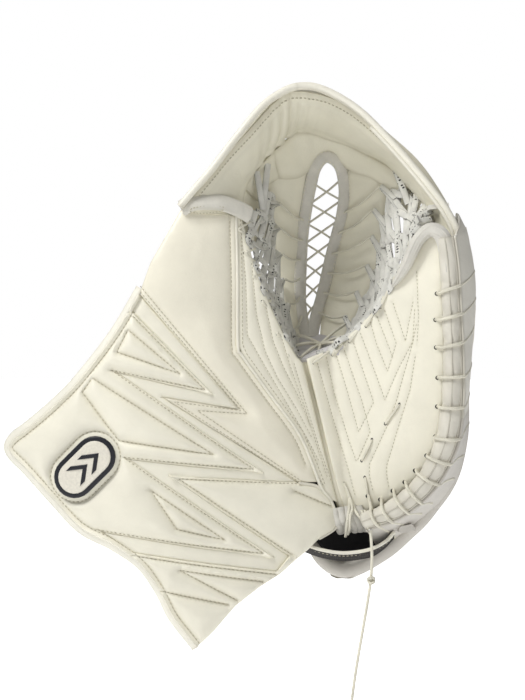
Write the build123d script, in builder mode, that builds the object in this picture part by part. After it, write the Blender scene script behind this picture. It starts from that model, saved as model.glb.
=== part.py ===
from build123d import *

import os
from math import pi, radians, tan

# Ice hockey goalie catch glove: sewn and laced leather pieces over foam, open and facing the viewer.
#
# While modelling, X runs to the finger side, Y from the palm to the back of the hand, and Z up the
# fold line to the top of the web. The origin is the middle of the hand opening at the heel.
# Heights called w are measured towards the viewer from the crease of the palm, so y = -(w + CREASE).
# The finished pieces are leaned by HELD_LEAN about Y, the way the glove is held.

HELD_LEAN = 6.5  # degrees, top of the web towards the thumb side

# Leather, foam and board thicknesses, as depths behind the leather's face
CREASE = 22.0  # the palm crease stands this far in front of the hand opening's middle
COVER = 2.4
SEAM_GAP = 0.4
FOAM_NEAR = COVER + SEAM_GAP
PALM_FOAM_FAR = 10.5
PALM_LINER = (10.9, 12.1)
BLOCK_FOAM_FAR = 13.0
BLOCK_BOARD = (13.4, 15.4)
CUFF_LINER = (15.8, 17.0)
PATCH_DEPTH = (17.6, 19.2)
OVERLAY = (-1.6, -0.3)
THUMB_GUARD_DEPTH = (36.0, 46.0)
GUARD_FOAM_FAR = 10.0
GUARD_BOARD = (10.4, 12.4)

# Front face of the two wings: w = slope * |x| + curl * x^2
THUMB_SLOPE, THUMB_CURL = 0.55, -0.0016
FINGER_SLOPE, FINGER_CURL = 0.25, 0.002

# Fold line
FOLD_X, FOLD_Y = -4.0, -24.0
FOLD_CORE_R = 3.2
HEEL_Z, POCKET_Z = 24.0, 166.0

# Edge roll, the thinner binding round the palm's top, and the lace over the roll
ROLL_R = 8.0
TIP_BIND_R = 4.0
BESIDE = 0.6  # gap from a bound edge to the leather beside it
LACE_R = 1.5
LACE_OVER_ROLL = ROLL_R + LACE_R + 0.4

# Finger guard: half-shell whose wall runs from the back of the hand round to the roll
GUARD_LEFT_X = -48.0
GUARD_STATIONS = [  # height, right edge x, front edge y, back y
    (-34, 26, -8, 12),
    (-8, 46, -14, 20),
    (40, 92, -28, 25),
    (90, 118, -38, 26),
    (150, 130, -43, 26),
    (230, 131, -43, 22),
    (292, 125, -36, 14),
]

# Wrist strap
STRAP_FRONT_Y, STRAP_BACK_Y = -40.0, -22.0
STRAP_T = 2.6
STRAP_EDGE_Y, STRAP_EDGE_R = -38.3, 1.6
STRAP_EDGE_GAP = 3.7  # the strap's face stands back this far behind STRAP_FRONT_Y

# Hanging lace
TAIL_R = 1.3
TAIL_Y = -44.5
TAIL_ROUTE = [  # x, z down the hanging lace
    (16.5, 14.5), (16.3, 2.0), (15.0, -13.0), (12.2, -29.0), (6.6, -50.0),
    (-0.8, -75.0), (-9.0, -103.0), (-15.8, -129.0), (-19.6, -146.0),
]
TIP_LENGTH, TIP_R = 14.0, 1.6
KNOT_R = 3.8

WIDE = 400.0  # longer than the glove, for cutting prisms

os.makedirs("parts", exist_ok=True)


# ---------------------------------------------------------------- helpers

def face_y(x):
    """Y of the front leather face at a distance x from the middle."""
    if x < 0:
        return -(CREASE + THUMB_SLOPE * -x + THUMB_CURL * x * x)
    return -(CREASE + FINGER_SLOPE * x + FINGER_CURL * x * x)


def at(x, z, w):
    """Point at x, z and height w in front of the crease."""
    return Vector(x, -(w + CREASE), z)


def beside(points, gap):
    """A run of x, z points moved sideways by gap, to the left of the way it runs."""
    moved = []
    for i, (x, z) in enumerate(points):
        before, after = points[max(i - 1, 0)], points[min(i + 1, len(points) - 1)]
        run_x, run_z = after[0] - before[0], after[1] - before[1]
        length = (run_x**2 + run_z**2) ** 0.5
        moved.append((x - gap * run_z / length, z + gap * run_x / length))
    return moved


def layer(outline, near, far):
    """Solid between two depths behind the leather's face, cut to an outline drawn in XZ."""
    low, high = outline.bounding_box().min, outline.bounding_box().max
    columns = [low.X - 1 + (high.X - low.X + 2) * i / 8 for i in range(9)]
    with BuildPart() as prism:
        with BuildSketch(Plane.XY.offset(low.Z - 1)):
            with BuildLine():
                front = Spline(*[(x, face_y(x) + near) for x in columns])
                back = Spline(*[(x, face_y(x) + far) for x in columns])
                Line(front @ 0, back @ 0)
                Line(front @ 1, back @ 1)
            make_face()
        extrude(amount=high.Z - low.Z + 2)
        extrude(outline, amount=WIDE, both=True, mode=Mode.INTERSECT)
    return prism.part


def ribbon(stations, near, far):
    """Strip lofted through pairs of edge points, between two depths behind its face."""
    pairs = [(at(*a), at(*b)) for a, b in stations]
    middles = [(a + b) * 0.5 for a, b in pairs]
    last = len(pairs) - 1
    with BuildPart() as strip:
        for i, (a, b) in enumerate(pairs):
            side = b - a
            travel = middles[min(i + 1, last)] - middles[max(i - 1, 0)]
            along = travel - side * (travel.dot(side) / side.dot(side))
            with BuildSketch(Plane(a, x_dir=side, z_dir=along)):
                with Locations((side.length / 2, (near + far) / 2)):
                    Rectangle(side.length, far - near)
        loft()
    return strip.part


def tube(path_points, radius):
    """Round tube along a smooth curve through the points."""
    with BuildPart() as pipe:
        with BuildLine() as path:
            Spline(*path_points)
        with BuildSketch(Plane(path.line @ 0, z_dir=path.line % 0)):
            Circle(radius)
        sweep(path=path.line)
    return pipe.part


def strand(start, end, radius):
    """Straight lace strand between two points."""
    with BuildPart() as pipe:
        with BuildSketch(Plane(start, z_dir=end - start)):
            Circle(radius)
        extrude(amount=(end - start).length)
    return pipe.part


def guard_wall(station, inset):
    """Points of a guard section, inset from its outer face."""
    _, right, front, back = station
    width, depth = right - GUARD_LEFT_X, back - front
    points = []
    for share in (0.0, 0.3, 0.55, 0.75, 0.9, 1.0):
        slope_x, slope_y = width, -4 * depth * share**3
        length = (slope_x**2 + slope_y**2) ** 0.5
        points.append((
            GUARD_LEFT_X + width * share + inset * slope_y / length,
            back - depth * share**4 - inset * slope_x / length,
        ))
    return points


def guard_shell(near, far, outline):
    """Shell of the back guard between two depths, cut to an outline drawn in XZ."""
    with BuildPart() as shell:
        for station in GUARD_STATIONS:
            with BuildSketch(Plane.XY.offset(station[0])):
                with BuildLine():
                    outer = Spline(*guard_wall(station, near))
                    inner = Spline(*guard_wall(station, far))
                    Line(outer @ 0, inner @ 0)
                    Line(outer @ 1, inner @ 1)
                make_face()
        loft()
        extrude(outline, amount=WIDE, both=True, mode=Mode.INTERSECT)
    return shell.part


def save(name, part):
    """Lean the finished piece as the glove is held, label it and write it."""
    held = Rotation(0, -HELD_LEAN, 0) * part
    held.label = name
    export_step(held, f"parts/{name}.step")


# ---------------------------------------------------------------- palm, finger side

ROLL_PATH = [  # x, z, w of the roll's middle, down the finger side to the heel
    (108, 262, 52), (108, 236, 53), (106, 205, 53), (102, 165, 52), (95, 122, 50), (82, 88, 46),
    (62, 60, 40), (38, 38, 31), (12, 24, 16),
]
TIP_PATH = [  # x, z, w of the binding round the palm's top, from the pocket's rim to the roll
    (76, 252, 37), (85, 272, 43), (95.5, 283, 47), (104.5, 279, 50), (108, 267.5, 52),
]
PALM_TIP = [(81, 249), (88.6, 268), (95.5, 276.5), (99, 270), (99.4, 262)]
PALM_SIDE = beside([(x, z) for x, z, w in ROLL_PATH], -ROLL_R - BESIDE)

with BuildPart() as palm_edge_roll:
    add(tube([at(*p) for p in ROLL_PATH], ROLL_R))

with BuildPart() as palm_tip_binding:
    add(tube([at(*p) for p in TIP_PATH], TIP_BIND_R))

with BuildSketch(Plane.XZ) as palm_outline:
    with BuildLine():
        Polyline(PALM_SIDE[-1], (1.5, 30), (1.5, 160), (13, 174), (30, 188))
        Spline((30, 188), (52, 207), (70, 230), PALM_TIP[0])
        Spline(*PALM_TIP)
        Spline(PALM_TIP[-1], *PALM_SIDE[1:])
    make_face()

with BuildPart() as palm_cover:
    add(layer(palm_outline.sketch, 0, COVER))

with BuildPart() as palm_foam:
    add(layer(palm_outline.sketch, FOAM_NEAR, PALM_FOAM_FAR))

with BuildPart() as palm_liner:
    add(layer(palm_outline.sketch, *PALM_LINER))

# Lace wraps over the roll, one arc for each hole
WRAP_STEPS = 14
with BuildLine() as roll_line:
    Spline(*[at(*p) for p in ROLL_PATH])

with BuildPart() as perimeter_lace:
    for step in range(WRAP_STEPS):
        share = 0.05 + 0.9 * step / (WRAP_STEPS - 1)
        middle, along = roll_line.line @ share, roll_line.line % share
        front = (Vector(0, -1, 0) - along * Vector(0, -1, 0).dot(along)).normalized()
        outward = front.cross(along).normalized()
        reach = LACE_OVER_ROLL
        with BuildLine() as wrap:
            ThreePointArc(
                middle - outward * reach,
                middle + front * reach,
                middle + outward * reach,
            )
        with BuildSketch(Plane(wrap.line @ 0, z_dir=wrap.line % 0)):
            Circle(LACE_R)
        sweep(path=wrap.line)

with BuildPart() as heel_lacing:
    for x in (3.2, 6.8):
        with BuildSketch(Plane.XY.offset(34)):
            with Locations((x, face_y(x) - 2.4)):
                Circle(LACE_R)
        extrude(amount=18)

# ---------------------------------------------------------------- guard over the back of the hand

with BuildSketch(Plane.XZ) as finger_guard_outline:
    with BuildLine():
        Polyline((140, 50.4), (-40, 50.4), (-25, 90), (-12, 130), (4, 160), (32, 178), (80, 235),
                 (101, 288.5), (140, 288.5), (140, 50.4))
    make_face()

with BuildSketch(Plane.XZ) as wrist_guard_outline:
    with BuildLine():
        Polyline((-40, 50), (-44, 26), (-40, -4), (-24, -24))
        Spline((-24, -24), (-8, -31), (8, -28), (30, -12), (50, 4))
        Polyline((50, 4), (140, 30), (140, 50), (-40, 50))
    make_face()

with BuildPart() as finger_guard_cover:
    add(guard_shell(0, COVER, finger_guard_outline.sketch))

with BuildPart() as finger_guard_foam:
    add(guard_shell(FOAM_NEAR, GUARD_FOAM_FAR, finger_guard_outline.sketch))

with BuildPart() as finger_guard_board:
    add(guard_shell(*GUARD_BOARD, finger_guard_outline.sketch))

with BuildPart() as wrist_guard_cover:
    add(guard_shell(0, COVER, wrist_guard_outline.sketch))

with BuildPart() as wrist_guard_foam:
    add(guard_shell(FOAM_NEAR, GUARD_FOAM_FAR, wrist_guard_outline.sketch))

with BuildPart() as finger_gusset:
    add(ribbon([
        ((20, 179, -12), (35, 181, -25)),
        ((51, 208, 0), (60, 210, -19)),
        ((75, 236, 14), (83, 238, -8)),
        ((89, 262, 23), (93, 263, 3)),
    ], 0, 2))

with BuildPart() as fingertip_cap:
    with BuildSketch(Plane.XY.offset(289.5)):
        with BuildLine():
            Polyline((99, -53), (117, -53), (117, -38))
            Spline((117, -38), (113, -16), (105, -4))
            Polyline((105, -4), (99, -10), (99, -53))
        make_face()
    extrude(amount=4)

with BuildPart() as finger_dividers:
    for x, top in ((30, 166), (55, 190), (80, 226)):
        with BuildSketch(Plane.XY.offset(105)):
            with Locations((x, face_y(x) + 25)):
                Rectangle(2.5, 23)
        extrude(amount=top - 105)

with BuildPart() as web_side_band:
    add(ribbon([
        ((119, 112, 28), (121, 112, 38)),
        ((122, 150, 30), (123, 150, 41)),
        ((123, 220, 30), (124, 220, 42)),
        ((122, 296, 29), (122, 296, 42)),
    ], -2, 1))

# ---------------------------------------------------------------- hanging heel lace

with BuildPart() as lace_eyelet:
    with BuildSketch(Plane.XY.offset(14.5)):
        with Locations((TAIL_ROUTE[0][0], TAIL_Y)):
            Circle(3.2)
    extrude(amount=1.4)

tail_points = [Vector(x, TAIL_Y, z) for x, z in TAIL_ROUTE]
tail_radii = []
for before, corner, after in zip(tail_points, tail_points[1:], tail_points[2:]):
    turn = (corner - before).get_angle(after - corner)
    shorter = min((corner - before).length, (after - corner).length)
    tail_radii.append(0.45 * shorter / tan(radians(turn / 2)))
print("lace radii", [round(r) for r in tail_radii])

with BuildPart() as lace_tail:
    with BuildLine() as tail_line:
        FilletPolyline(*tail_points, radius=tail_radii)
    with BuildSketch(Plane(tail_line.line @ 0, z_dir=tail_line.line % 0)):
        Circle(TAIL_R)
    sweep(path=tail_line.line)

print("lace length", round(tail_line.wires()[0].length, 1),
      "volume over section", round(lace_tail.part.volume / (pi * TAIL_R**2), 1))

with BuildPart() as lace_knot:
    with Locations(Vector(12.2, TAIL_Y, -29.5)):
        Sphere(KNOT_R)

tail_end, tail_way = tail_line.line @ 1, tail_line.line % 1
with BuildPart() as lace_tip:
    with BuildSketch(Plane(tail_end, z_dir=tail_way)):
        Circle(TIP_R)
    with BuildSketch(Plane(tail_end + tail_way * TIP_LENGTH, z_dir=tail_way)):
        Circle(TIP_R * 0.7)
    loft()

# ---------------------------------------------------------------- web

LEFT_ARM = [  # rim edge, seam edge
    ((-106, 330, 44), (-58, 330, 10)),
    ((-80, 353, 38), (-48, 342, -8)),
    ((-40, 389, 28), (-30, 360, -22)),
    ((-9, 411, 22), (-9, 377, -30)),
]
RIGHT_ARM = [
    ((1, 414, 20), (1, 379, -33)),
    ((25, 404, 19), (24, 371, -38)),
    ((58, 378, 22), (50, 358, -38)),
    ((90, 345, 28), (76, 337, -34)),
    ((118, 306, 32), (98, 306, -22)),
]
CREASE_BAND = [
    ((-8.2, 411.8, 22), (-8.2, 377.5, -30.2)),
    ((0.2, 413.9, 20.1), (0.2, 379.2, -32.8)),
]
CROWN_FACE = (0, 1.8)
CROWN_FOAM = (2.2, 6.0)
CROWN_BACK = (6.4, 8.0)

with BuildPart() as crown_left_face:
    add(ribbon(LEFT_ARM, *CROWN_FACE))
with BuildPart() as crown_left_foam:
    add(ribbon(LEFT_ARM, *CROWN_FOAM))
with BuildPart() as crown_left_back:
    add(ribbon(LEFT_ARM, *CROWN_BACK))
with BuildPart() as crown_right_face:
    add(ribbon(RIGHT_ARM, *CROWN_FACE))
with BuildPart() as crown_right_foam:
    add(ribbon(RIGHT_ARM, *CROWN_FOAM))
with BuildPart() as crown_right_back:
    add(ribbon(RIGHT_ARM, *CROWN_BACK))
with BuildPart() as crown_crease:
    add(ribbon(CREASE_BAND, 0.5, 7.5))

# Piped rim, standing just in front of the leather's edge
RIM_R = 2.6
with BuildPart() as crown_binding:
    add(tube([
        at(-107, 333, 49), at(-81, 357, 43), at(-41, 393, 32), at(-4, 418, 25), at(26, 408, 23.5),
        at(60, 382, 27), at(92, 348, 33), at(121, 307, 37),
    ], RIM_R))

with BuildPart() as stem_top:
    add(ribbon([
        ((-32, 347, -45), (-30, 353, -26)),
        ((-12, 349, -50), (-11, 370, -34)),
        ((4, 356, -49), (4, 371, -38)),
        ((19, 363, -46), (19, 369, -41)),
        ((34, 354, -49), (34, 361, -42)),
        ((62, 340, -43), (61, 346, -39)),
    ], -2, 2))

STRIP_T = 6.0
with BuildPart() as strip_left:
    add(ribbon([
        ((-31, 192, -58), (-24, 192, -61)),
        ((-36, 222, -71), (-23.2, 222, -78)),
        ((-39, 255, -76), (-19.2, 255, -86)),
        ((-39, 290, -67), (-13.2, 290, -79)),
        ((-37, 318, -55), (-6.2, 318, -67)),
        ((-34, 342, -46), (0.4, 342, -56)),
    ], 0, STRIP_T))

with BuildPart() as strip_right:
    add(ribbon([
        ((-3, 190, -62), (20, 190, -57)),
        ((5, 222, -80), (42, 222, -72)),
        ((15.6, 254, -87), (60, 254, -70)),
        ((27, 285, -79), (66, 285, -61)),
        ((36.6, 316, -66), (68, 312, -49)),
        ((37.6, 330, -59), (68, 318, -47)),
    ], 0, STRIP_T))

BIND_R = 2.0
with BuildPart() as slot_binding:
    add(tube([
        at(-19.4, 196, -66), at(-19.2, 222, -82), at(-15.2, 255, -89), at(-9.2, 290, -81),
        at(-2.2, 318, -69), at(6.4, 346, -56), at(19.6, 356, -51), at(31.4, 346, -55), at(33.2, 322, -66),
        at(22.8, 286, -81), at(11.2, 254, -89), at(0.2, 222, -82), at(-9, 196, -66),
    ], BIND_R))

# Crossed lace between the two bound edges
SLOT_LACE_R = 1.1
CROSS_SHIFT = 1.6
CROSSINGS = [  # left x, right x, z, w of the slot's clear width at each rung
    (7.6, 27.6, 334, -63), (3, 26.6, 316, -71), (-2, 21.6, 298, -79), (-5.8, 15.6, 280, -85),
    (-9.4, 9.2, 262, -89), (-11.8, 2.8, 244, -88), (-13.9, -3, 226, -84), (-14.6, -9.4, 210, -77),
]
with BuildPart() as slot_lacing:
    for upper, lower in zip(CROSSINGS, CROSSINGS[1:]):
        back = Vector(0, CROSS_SHIFT, 0)
        add(strand(at(upper[0], upper[2], upper[3]) - back, at(lower[1], lower[2], lower[3]) - back,
                   SLOT_LACE_R))
        add(strand(at(upper[1], upper[2], upper[3]) + back, at(lower[0], lower[2], lower[3]) + back,
                   SLOT_LACE_R))

with BuildPart() as web_base:
    add(ribbon([
        ((-30, 186, -54), (19, 186, -54)),
        ((-27, 182, -38), (20, 182, -38)),
        ((-21, 178, -20), (16, 178, -20)),
        ((-15, 175, -7), (10, 175, -7)),
    ], -1.5, 1.5))

NET_T = (-1.5, 1.5)
with BuildPart() as pocket_net_left:
    add(ribbon([
        ((-31, 190, -50), (-28, 186, 0)),
        ((-39, 216, -63), (-41, 212, 14)),
        ((-42.5, 250, -69), (-51, 246, 22)),
        ((-42.5, 285, -62), (-57, 278, 25)),
        ((-41, 314, -50), (-62, 306, 22)),
    ], *NET_T))

with BuildPart() as pocket_net_right:
    add(ribbon([
        ((23.5, 192, -50), (24, 192, 4)),
        ((45, 219, -64), (44, 212, 16)),
        ((63, 250, -62), (62, 236, 26)),
        ((70, 281, -54), (75, 267, 34)),
        ((71, 300, -46), (83, 292, 22)),
    ], *NET_T))

# Creased leather core on the fold line
with BuildPart() as palm_crease:
    with BuildSketch(Plane.XY.offset(HEEL_Z)):
        with Locations((FOLD_X, FOLD_Y)):
            Circle(FOLD_CORE_R)
    extrude(amount=POCKET_Z - HEEL_Z)

# ---------------------------------------------------------------- thumb half

with BuildSketch(Plane.XZ) as thumb_palm_outline:
    with BuildLine():
        Polyline((-9, 26), (-9, 120), (-13, 160), (-29, 163))
        Spline((-29, 163), (-49, 222), (-60, 263), (-66, 302))
        Polyline((-66, 302), (-70, 302), (-77, 229), (-78, 177), (-65, 142), (-39, 74), (-20, 26), (-9, 26))
    make_face()

with BuildSketch(Plane.XZ) as thumb_block_outline:
    with BuildLine():
        Polyline((-71, 302), (-78, 229), (-79, 177), (-66, 143), (-63, 114), (-89, 137), (-116, 180),
                 (-158, 250), (-148, 270), (-116, 314))
        Spline((-116, 314), (-94, 313), (-71, 302))
    make_face()

CUFF_EDGE = [  # x, z from the lower tip round the forearm end to the thumb block's seam
    (-146.5, -67), (-164, -38), (-173, -14), (-187, 11), (-210, 31), (-236, 48), (-257, 74), (-279, 103),
    (-291, 117), (-293.5, 124), (-287, 131), (-273, 139), (-247, 156), (-221, 177), (-186, 213),
    (-159, 248.6),
]

with BuildSketch(Plane.XZ) as cuff_outline:
    with BuildLine():
        Polyline((-159, 248.6), (-116.6, 178), (-89.6, 135), (-64, 112), (-40, 73), (-21, 25), (-38, 12),
                 (-47, 5), (-67, -15), (-87, -23), (-109, -36), (-130, -55), (-146.5, -67))
        Spline(*CUFF_EDGE)
    make_face()

with BuildPart() as thumb_palm_cover:
    add(layer(thumb_palm_outline.sketch, 0, COVER))

with BuildPart() as thumb_palm_foam:
    add(layer(thumb_palm_outline.sketch, FOAM_NEAR, PALM_FOAM_FAR))

with BuildPart() as thumb_block_cover:
    add(layer(thumb_block_outline.sketch, 0, COVER))

with BuildPart() as thumb_block_foam:
    add(layer(thumb_block_outline.sketch, FOAM_NEAR, BLOCK_FOAM_FAR))

with BuildPart() as thumb_board:
    add(layer(thumb_block_outline.sketch, *BLOCK_BOARD))

with BuildPart() as cuff_cover:
    add(layer(cuff_outline.sketch, 0, COVER))

with BuildPart() as cuff_foam:
    add(layer(cuff_outline.sketch, FOAM_NEAR, BLOCK_FOAM_FAR))

with BuildPart() as cuff_board:
    add(layer(cuff_outline.sketch, *BLOCK_BOARD))

with BuildPart() as cuff_liner:
    add(layer(cuff_outline.sketch, *CUFF_LINER))

with BuildSketch(Plane.XZ) as thumb_guard_outline:
    with BuildLine():
        Polyline((-50, 34), (-52, 150), (-64, 176), (-82, 230), (-93, 295), (-118, 306), (-146, 262),
                 (-168, 228), (-186, 196), (-150, 120), (-86, 56), (-50, 34))
    make_face()

with BuildPart() as thumb_guard:
    add(layer(thumb_guard_outline.sketch, *THUMB_GUARD_DEPTH))

with BuildPart() as thumb_gusset:
    add(ribbon([
        ((-46, 190, 5), (-70, 196, -2.6)),
        ((-54, 222, 8), (-80, 232, 0.6)),
        ((-64, 263, 11), (-88, 264, 2.8)),
        ((-69, 296, 12), (-94, 291, 4.4)),
    ], -1, 1))

with BuildPart() as thumb_edge_tape:
    add(tube([at(-118, 318.5, 36), at(-94, 318.5, 31), at(-71, 308, 22)], 3.2))

# Bound edge outside the cuff's layers
CUFF_BIND_R = 2.4
CUFF_BIND_DEPTH = 9.0
cuff_bind_line = beside(CUFF_EDGE[1:-1], CUFF_BIND_R + BESIDE)
with BuildPart() as cuff_binding:
    add(tube([Vector(x, face_y(x) + CUFF_BIND_DEPTH, z) for x, z in cuff_bind_line], CUFF_BIND_R))

with BuildSketch(Plane.XZ) as bolt_outline:
    with BuildLine():
        Polyline((-161, 241), (-88, 134), (-150, 153), (-43, 63), (-152, 85), (-57, 1), (-70, -11),
                 (-190, 21), (-218, 43), (-71, 2), (-188, 103), (-72, 76), (-190, 179), (-108, 150),
                 (-169, 229), (-161, 241))
    make_face()

with BuildPart() as cuff_bolt:
    add(layer(bolt_outline.sketch, *OVERLAY))

# Round-ended badge, set along the cuff's lower-left edge
BADGE_AT = (-225, 100)
BADGE_TURN = -38.0
BADGE_LENGTH, BADGE_HEIGHT = 62.0, 36.0
with BuildSketch(Plane.XZ) as badge_outline:
    with Locations(Location(BADGE_AT, BADGE_TURN)):
        SlotOverall(BADGE_LENGTH, BADGE_HEIGHT)

with BuildSketch(Plane.XZ) as badge_face_outline:
    with Locations(Location(BADGE_AT, BADGE_TURN)):
        SlotOverall(BADGE_LENGTH - 8, BADGE_HEIGHT - 8)

with BuildPart() as badge_backing:
    add(layer(badge_outline.sketch, -1.8, -0.3))

with BuildPart() as badge_face:
    add(layer(badge_face_outline.sketch, -3.4, -2.2))

with BuildSketch(Plane.XZ) as patch_outline:
    with Locations((-62, 10)):
        Rectangle(22, 20)

with BuildPart() as strap_patch:
    add(layer(patch_outline.sketch, *PATCH_DEPTH))

# ---------------------------------------------------------------- straps

STRAP_STATIONS = [  # x, z of the front edge; the back edge is lower
    (-40, 1), (-26, -7), (-6, -12), (16, -11), (30, -5), (40, 2),
]
STRAP_DROP = 9.0
ANCHOR_BACK_Y = -29.0


def strap_pairs(front_y, back_y, drop):
    """Edge pairs of the wrist strap between two depths."""
    return [((x, z, -front_y - CREASE), (x, z - drop, -back_y - CREASE)) for x, z in STRAP_STATIONS]


with BuildPart() as wrist_strap:
    add(ribbon(strap_pairs(STRAP_FRONT_Y + STRAP_EDGE_GAP, STRAP_BACK_Y, STRAP_DROP),
               -STRAP_T / 2, STRAP_T / 2))

with BuildPart() as strap_edge:
    add(tube([Vector(x, STRAP_EDGE_Y, z + 0.6) for x, z in STRAP_STATIONS], STRAP_EDGE_R))

with BuildPart() as strap_anchor:
    with BuildSketch(Plane.XZ.offset(-ANCHOR_BACK_Y)):
        with BuildLine():
            Polyline((41.5, 9), (46, 8), (58, 9), (54, 15), (43, 14), (41.5, 9))
        make_face()
    extrude(amount=ANCHOR_BACK_Y - STRAP_FRONT_Y)

BACK_STRAP_Z = (72.0, 106.0)
BACK_STRAP_T = 2.4


def back_strap(x_from, x_to, near, far):
    """Band over the outside of the guard, between two distances from its outer face."""
    with BuildSketch(Plane.XZ) as window:
        with BuildLine():
            Polyline((x_from, BACK_STRAP_Z[0]), (x_to, BACK_STRAP_Z[0]), (x_to, BACK_STRAP_Z[1]),
                     (x_from, BACK_STRAP_Z[1]), (x_from, BACK_STRAP_Z[0]))
        make_face()
    return guard_shell(-far, -near, window.sketch)


with BuildPart() as backhand_patch:
    add(back_strap(-14, 22, 0.3, 1.5))

with BuildPart() as backhand_strap:
    add(back_strap(-18, 66, 2.0, 2.0 + BACK_STRAP_T))

# ---------------------------------------------------------------- write every piece

PIECES = {
    "palm_cover": palm_cover, "palm_foam": palm_foam, "palm_liner": palm_liner,
    "palm_edge_roll": palm_edge_roll, "palm_tip_binding": palm_tip_binding,
    "perimeter_lace": perimeter_lace, "heel_lacing": heel_lacing,
    "finger_guard_cover": finger_guard_cover, "finger_guard_foam": finger_guard_foam,
    "finger_guard_board": finger_guard_board, "wrist_guard_cover": wrist_guard_cover,
    "wrist_guard_foam": wrist_guard_foam, "finger_gusset": finger_gusset,
    "fingertip_cap": fingertip_cap, "finger_dividers": finger_dividers,
    "web_side_band": web_side_band, "lace_eyelet": lace_eyelet, "lace_tail": lace_tail,
    "lace_knot": lace_knot, "lace_tip": lace_tip, "strap_anchor": strap_anchor,
    "backhand_patch": backhand_patch,
    "crown_left_face": crown_left_face, "crown_left_foam": crown_left_foam,
    "crown_left_back": crown_left_back, "crown_right_face": crown_right_face,
    "crown_right_foam": crown_right_foam, "crown_right_back": crown_right_back,
    "crown_crease": crown_crease, "crown_binding": crown_binding, "stem_top": stem_top,
    "strip_left": strip_left, "strip_right": strip_right, "slot_binding": slot_binding,
    "slot_lacing": slot_lacing, "web_base": web_base, "pocket_net_left": pocket_net_left,
    "pocket_net_right": pocket_net_right, "palm_crease": palm_crease,
    "thumb_palm_cover": thumb_palm_cover, "thumb_palm_foam": thumb_palm_foam,
    "thumb_block_cover": thumb_block_cover, "thumb_block_foam": thumb_block_foam,
    "thumb_board": thumb_board, "thumb_guard": thumb_guard, "thumb_gusset": thumb_gusset,
    "thumb_edge_tape": thumb_edge_tape, "cuff_cover": cuff_cover, "cuff_foam": cuff_foam,
    "cuff_board": cuff_board, "cuff_liner": cuff_liner, "cuff_binding": cuff_binding,
    "cuff_bolt": cuff_bolt, "badge_backing": badge_backing, "badge_face": badge_face,
    "strap_patch": strap_patch,
    "wrist_strap": wrist_strap, "strap_edge": strap_edge, "backhand_strap": backhand_strap,
}

for name, piece in PIECES.items():
    save(name, piece.part)
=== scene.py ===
import math
import random

import bpy
import numpy as np
from mathutils.geometry import delaunay_2d_cdt
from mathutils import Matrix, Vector


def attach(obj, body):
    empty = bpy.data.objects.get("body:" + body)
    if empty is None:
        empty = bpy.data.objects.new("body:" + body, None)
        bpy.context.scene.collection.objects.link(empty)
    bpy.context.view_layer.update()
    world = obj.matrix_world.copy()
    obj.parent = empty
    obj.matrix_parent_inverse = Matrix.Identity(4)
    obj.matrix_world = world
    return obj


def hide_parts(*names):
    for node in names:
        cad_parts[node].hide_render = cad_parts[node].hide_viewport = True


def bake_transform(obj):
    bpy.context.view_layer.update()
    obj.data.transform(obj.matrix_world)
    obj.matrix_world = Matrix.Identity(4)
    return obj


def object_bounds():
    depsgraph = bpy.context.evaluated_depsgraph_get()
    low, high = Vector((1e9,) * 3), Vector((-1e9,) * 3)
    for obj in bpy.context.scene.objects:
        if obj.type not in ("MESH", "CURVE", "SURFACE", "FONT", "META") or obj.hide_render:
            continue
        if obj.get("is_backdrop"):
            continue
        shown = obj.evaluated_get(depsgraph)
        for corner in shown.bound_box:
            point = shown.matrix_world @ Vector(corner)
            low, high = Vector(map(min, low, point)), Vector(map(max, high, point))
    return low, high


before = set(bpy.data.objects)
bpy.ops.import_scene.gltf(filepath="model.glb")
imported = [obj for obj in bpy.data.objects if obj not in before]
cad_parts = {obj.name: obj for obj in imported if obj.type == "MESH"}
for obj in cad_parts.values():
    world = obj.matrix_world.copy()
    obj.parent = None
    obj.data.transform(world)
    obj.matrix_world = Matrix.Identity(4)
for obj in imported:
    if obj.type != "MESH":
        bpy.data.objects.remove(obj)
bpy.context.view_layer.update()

# Visual model of a white ice hockey goalie catch glove. Shapes are worked out in the glove's own frame,
# in millimetres: u to the finger side, v up the fold line, w towards the viewer from the palm's crease.

rng = random.Random(11)

MM = 0.001
LEAN = math.radians(6.5)  # how far the glove leans to its side
CREASE = 22.0  # how far in front of the row frame's origin the palm's crease lies
PIPE_GAP = 4.2  # from the crown's piped rim in to the second row of piping
SHARP = math.radians(55)  # edges sharper than this stay sharp


# ---------------------------------------------------------------- glove frame

def to_row(points):
    """Row-frame points in metres from u, v, w points in millimetres."""
    u, v, w = np.asarray(points, float).reshape(-1, 3).T
    c, s = math.cos(LEAN), math.sin(LEAN)
    return np.column_stack((u * c - v * s, -(w + CREASE), u * s + v * c)) * MM


def row(u, v, w):
    return Vector(to_row([(u, v, w)])[0])


def face_w(u):
    """Height of the leather's face over the crease, u from the middle."""
    u = np.asarray(u, float)
    return np.where(u < 0, -0.55 * u - 0.0016 * u * u, 0.25 * u + 0.002 * u * u)


def on_leather(line, lift):
    """Line of u, v points laid on the leather's face, lifted off it."""
    return np.column_stack((line, face_w(line[:, 0]) + lift))


# ---------------------------------------------------------------- lines and distances

def unit(vectors):
    """Vectors at length one, along the last axis."""
    v = np.asarray(vectors, float)
    return v / np.maximum(np.linalg.norm(v, axis=-1, keepdims=True), 1e-9)


def length_along(points):
    """How far along a run each of its points lies."""
    return np.concatenate(([0], np.cumsum(np.linalg.norm(np.diff(points, axis=0), axis=1))))


def even(points, step):
    """Evenly spaced points along a run."""
    p = np.array(points, float)
    s = length_along(p)
    t = np.linspace(0, s[-1], max(int(math.ceil(s[-1] / step)), 1) + 1)
    return np.column_stack([np.interp(t, s, p[:, k]) for k in range(p.shape[1])])


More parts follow.
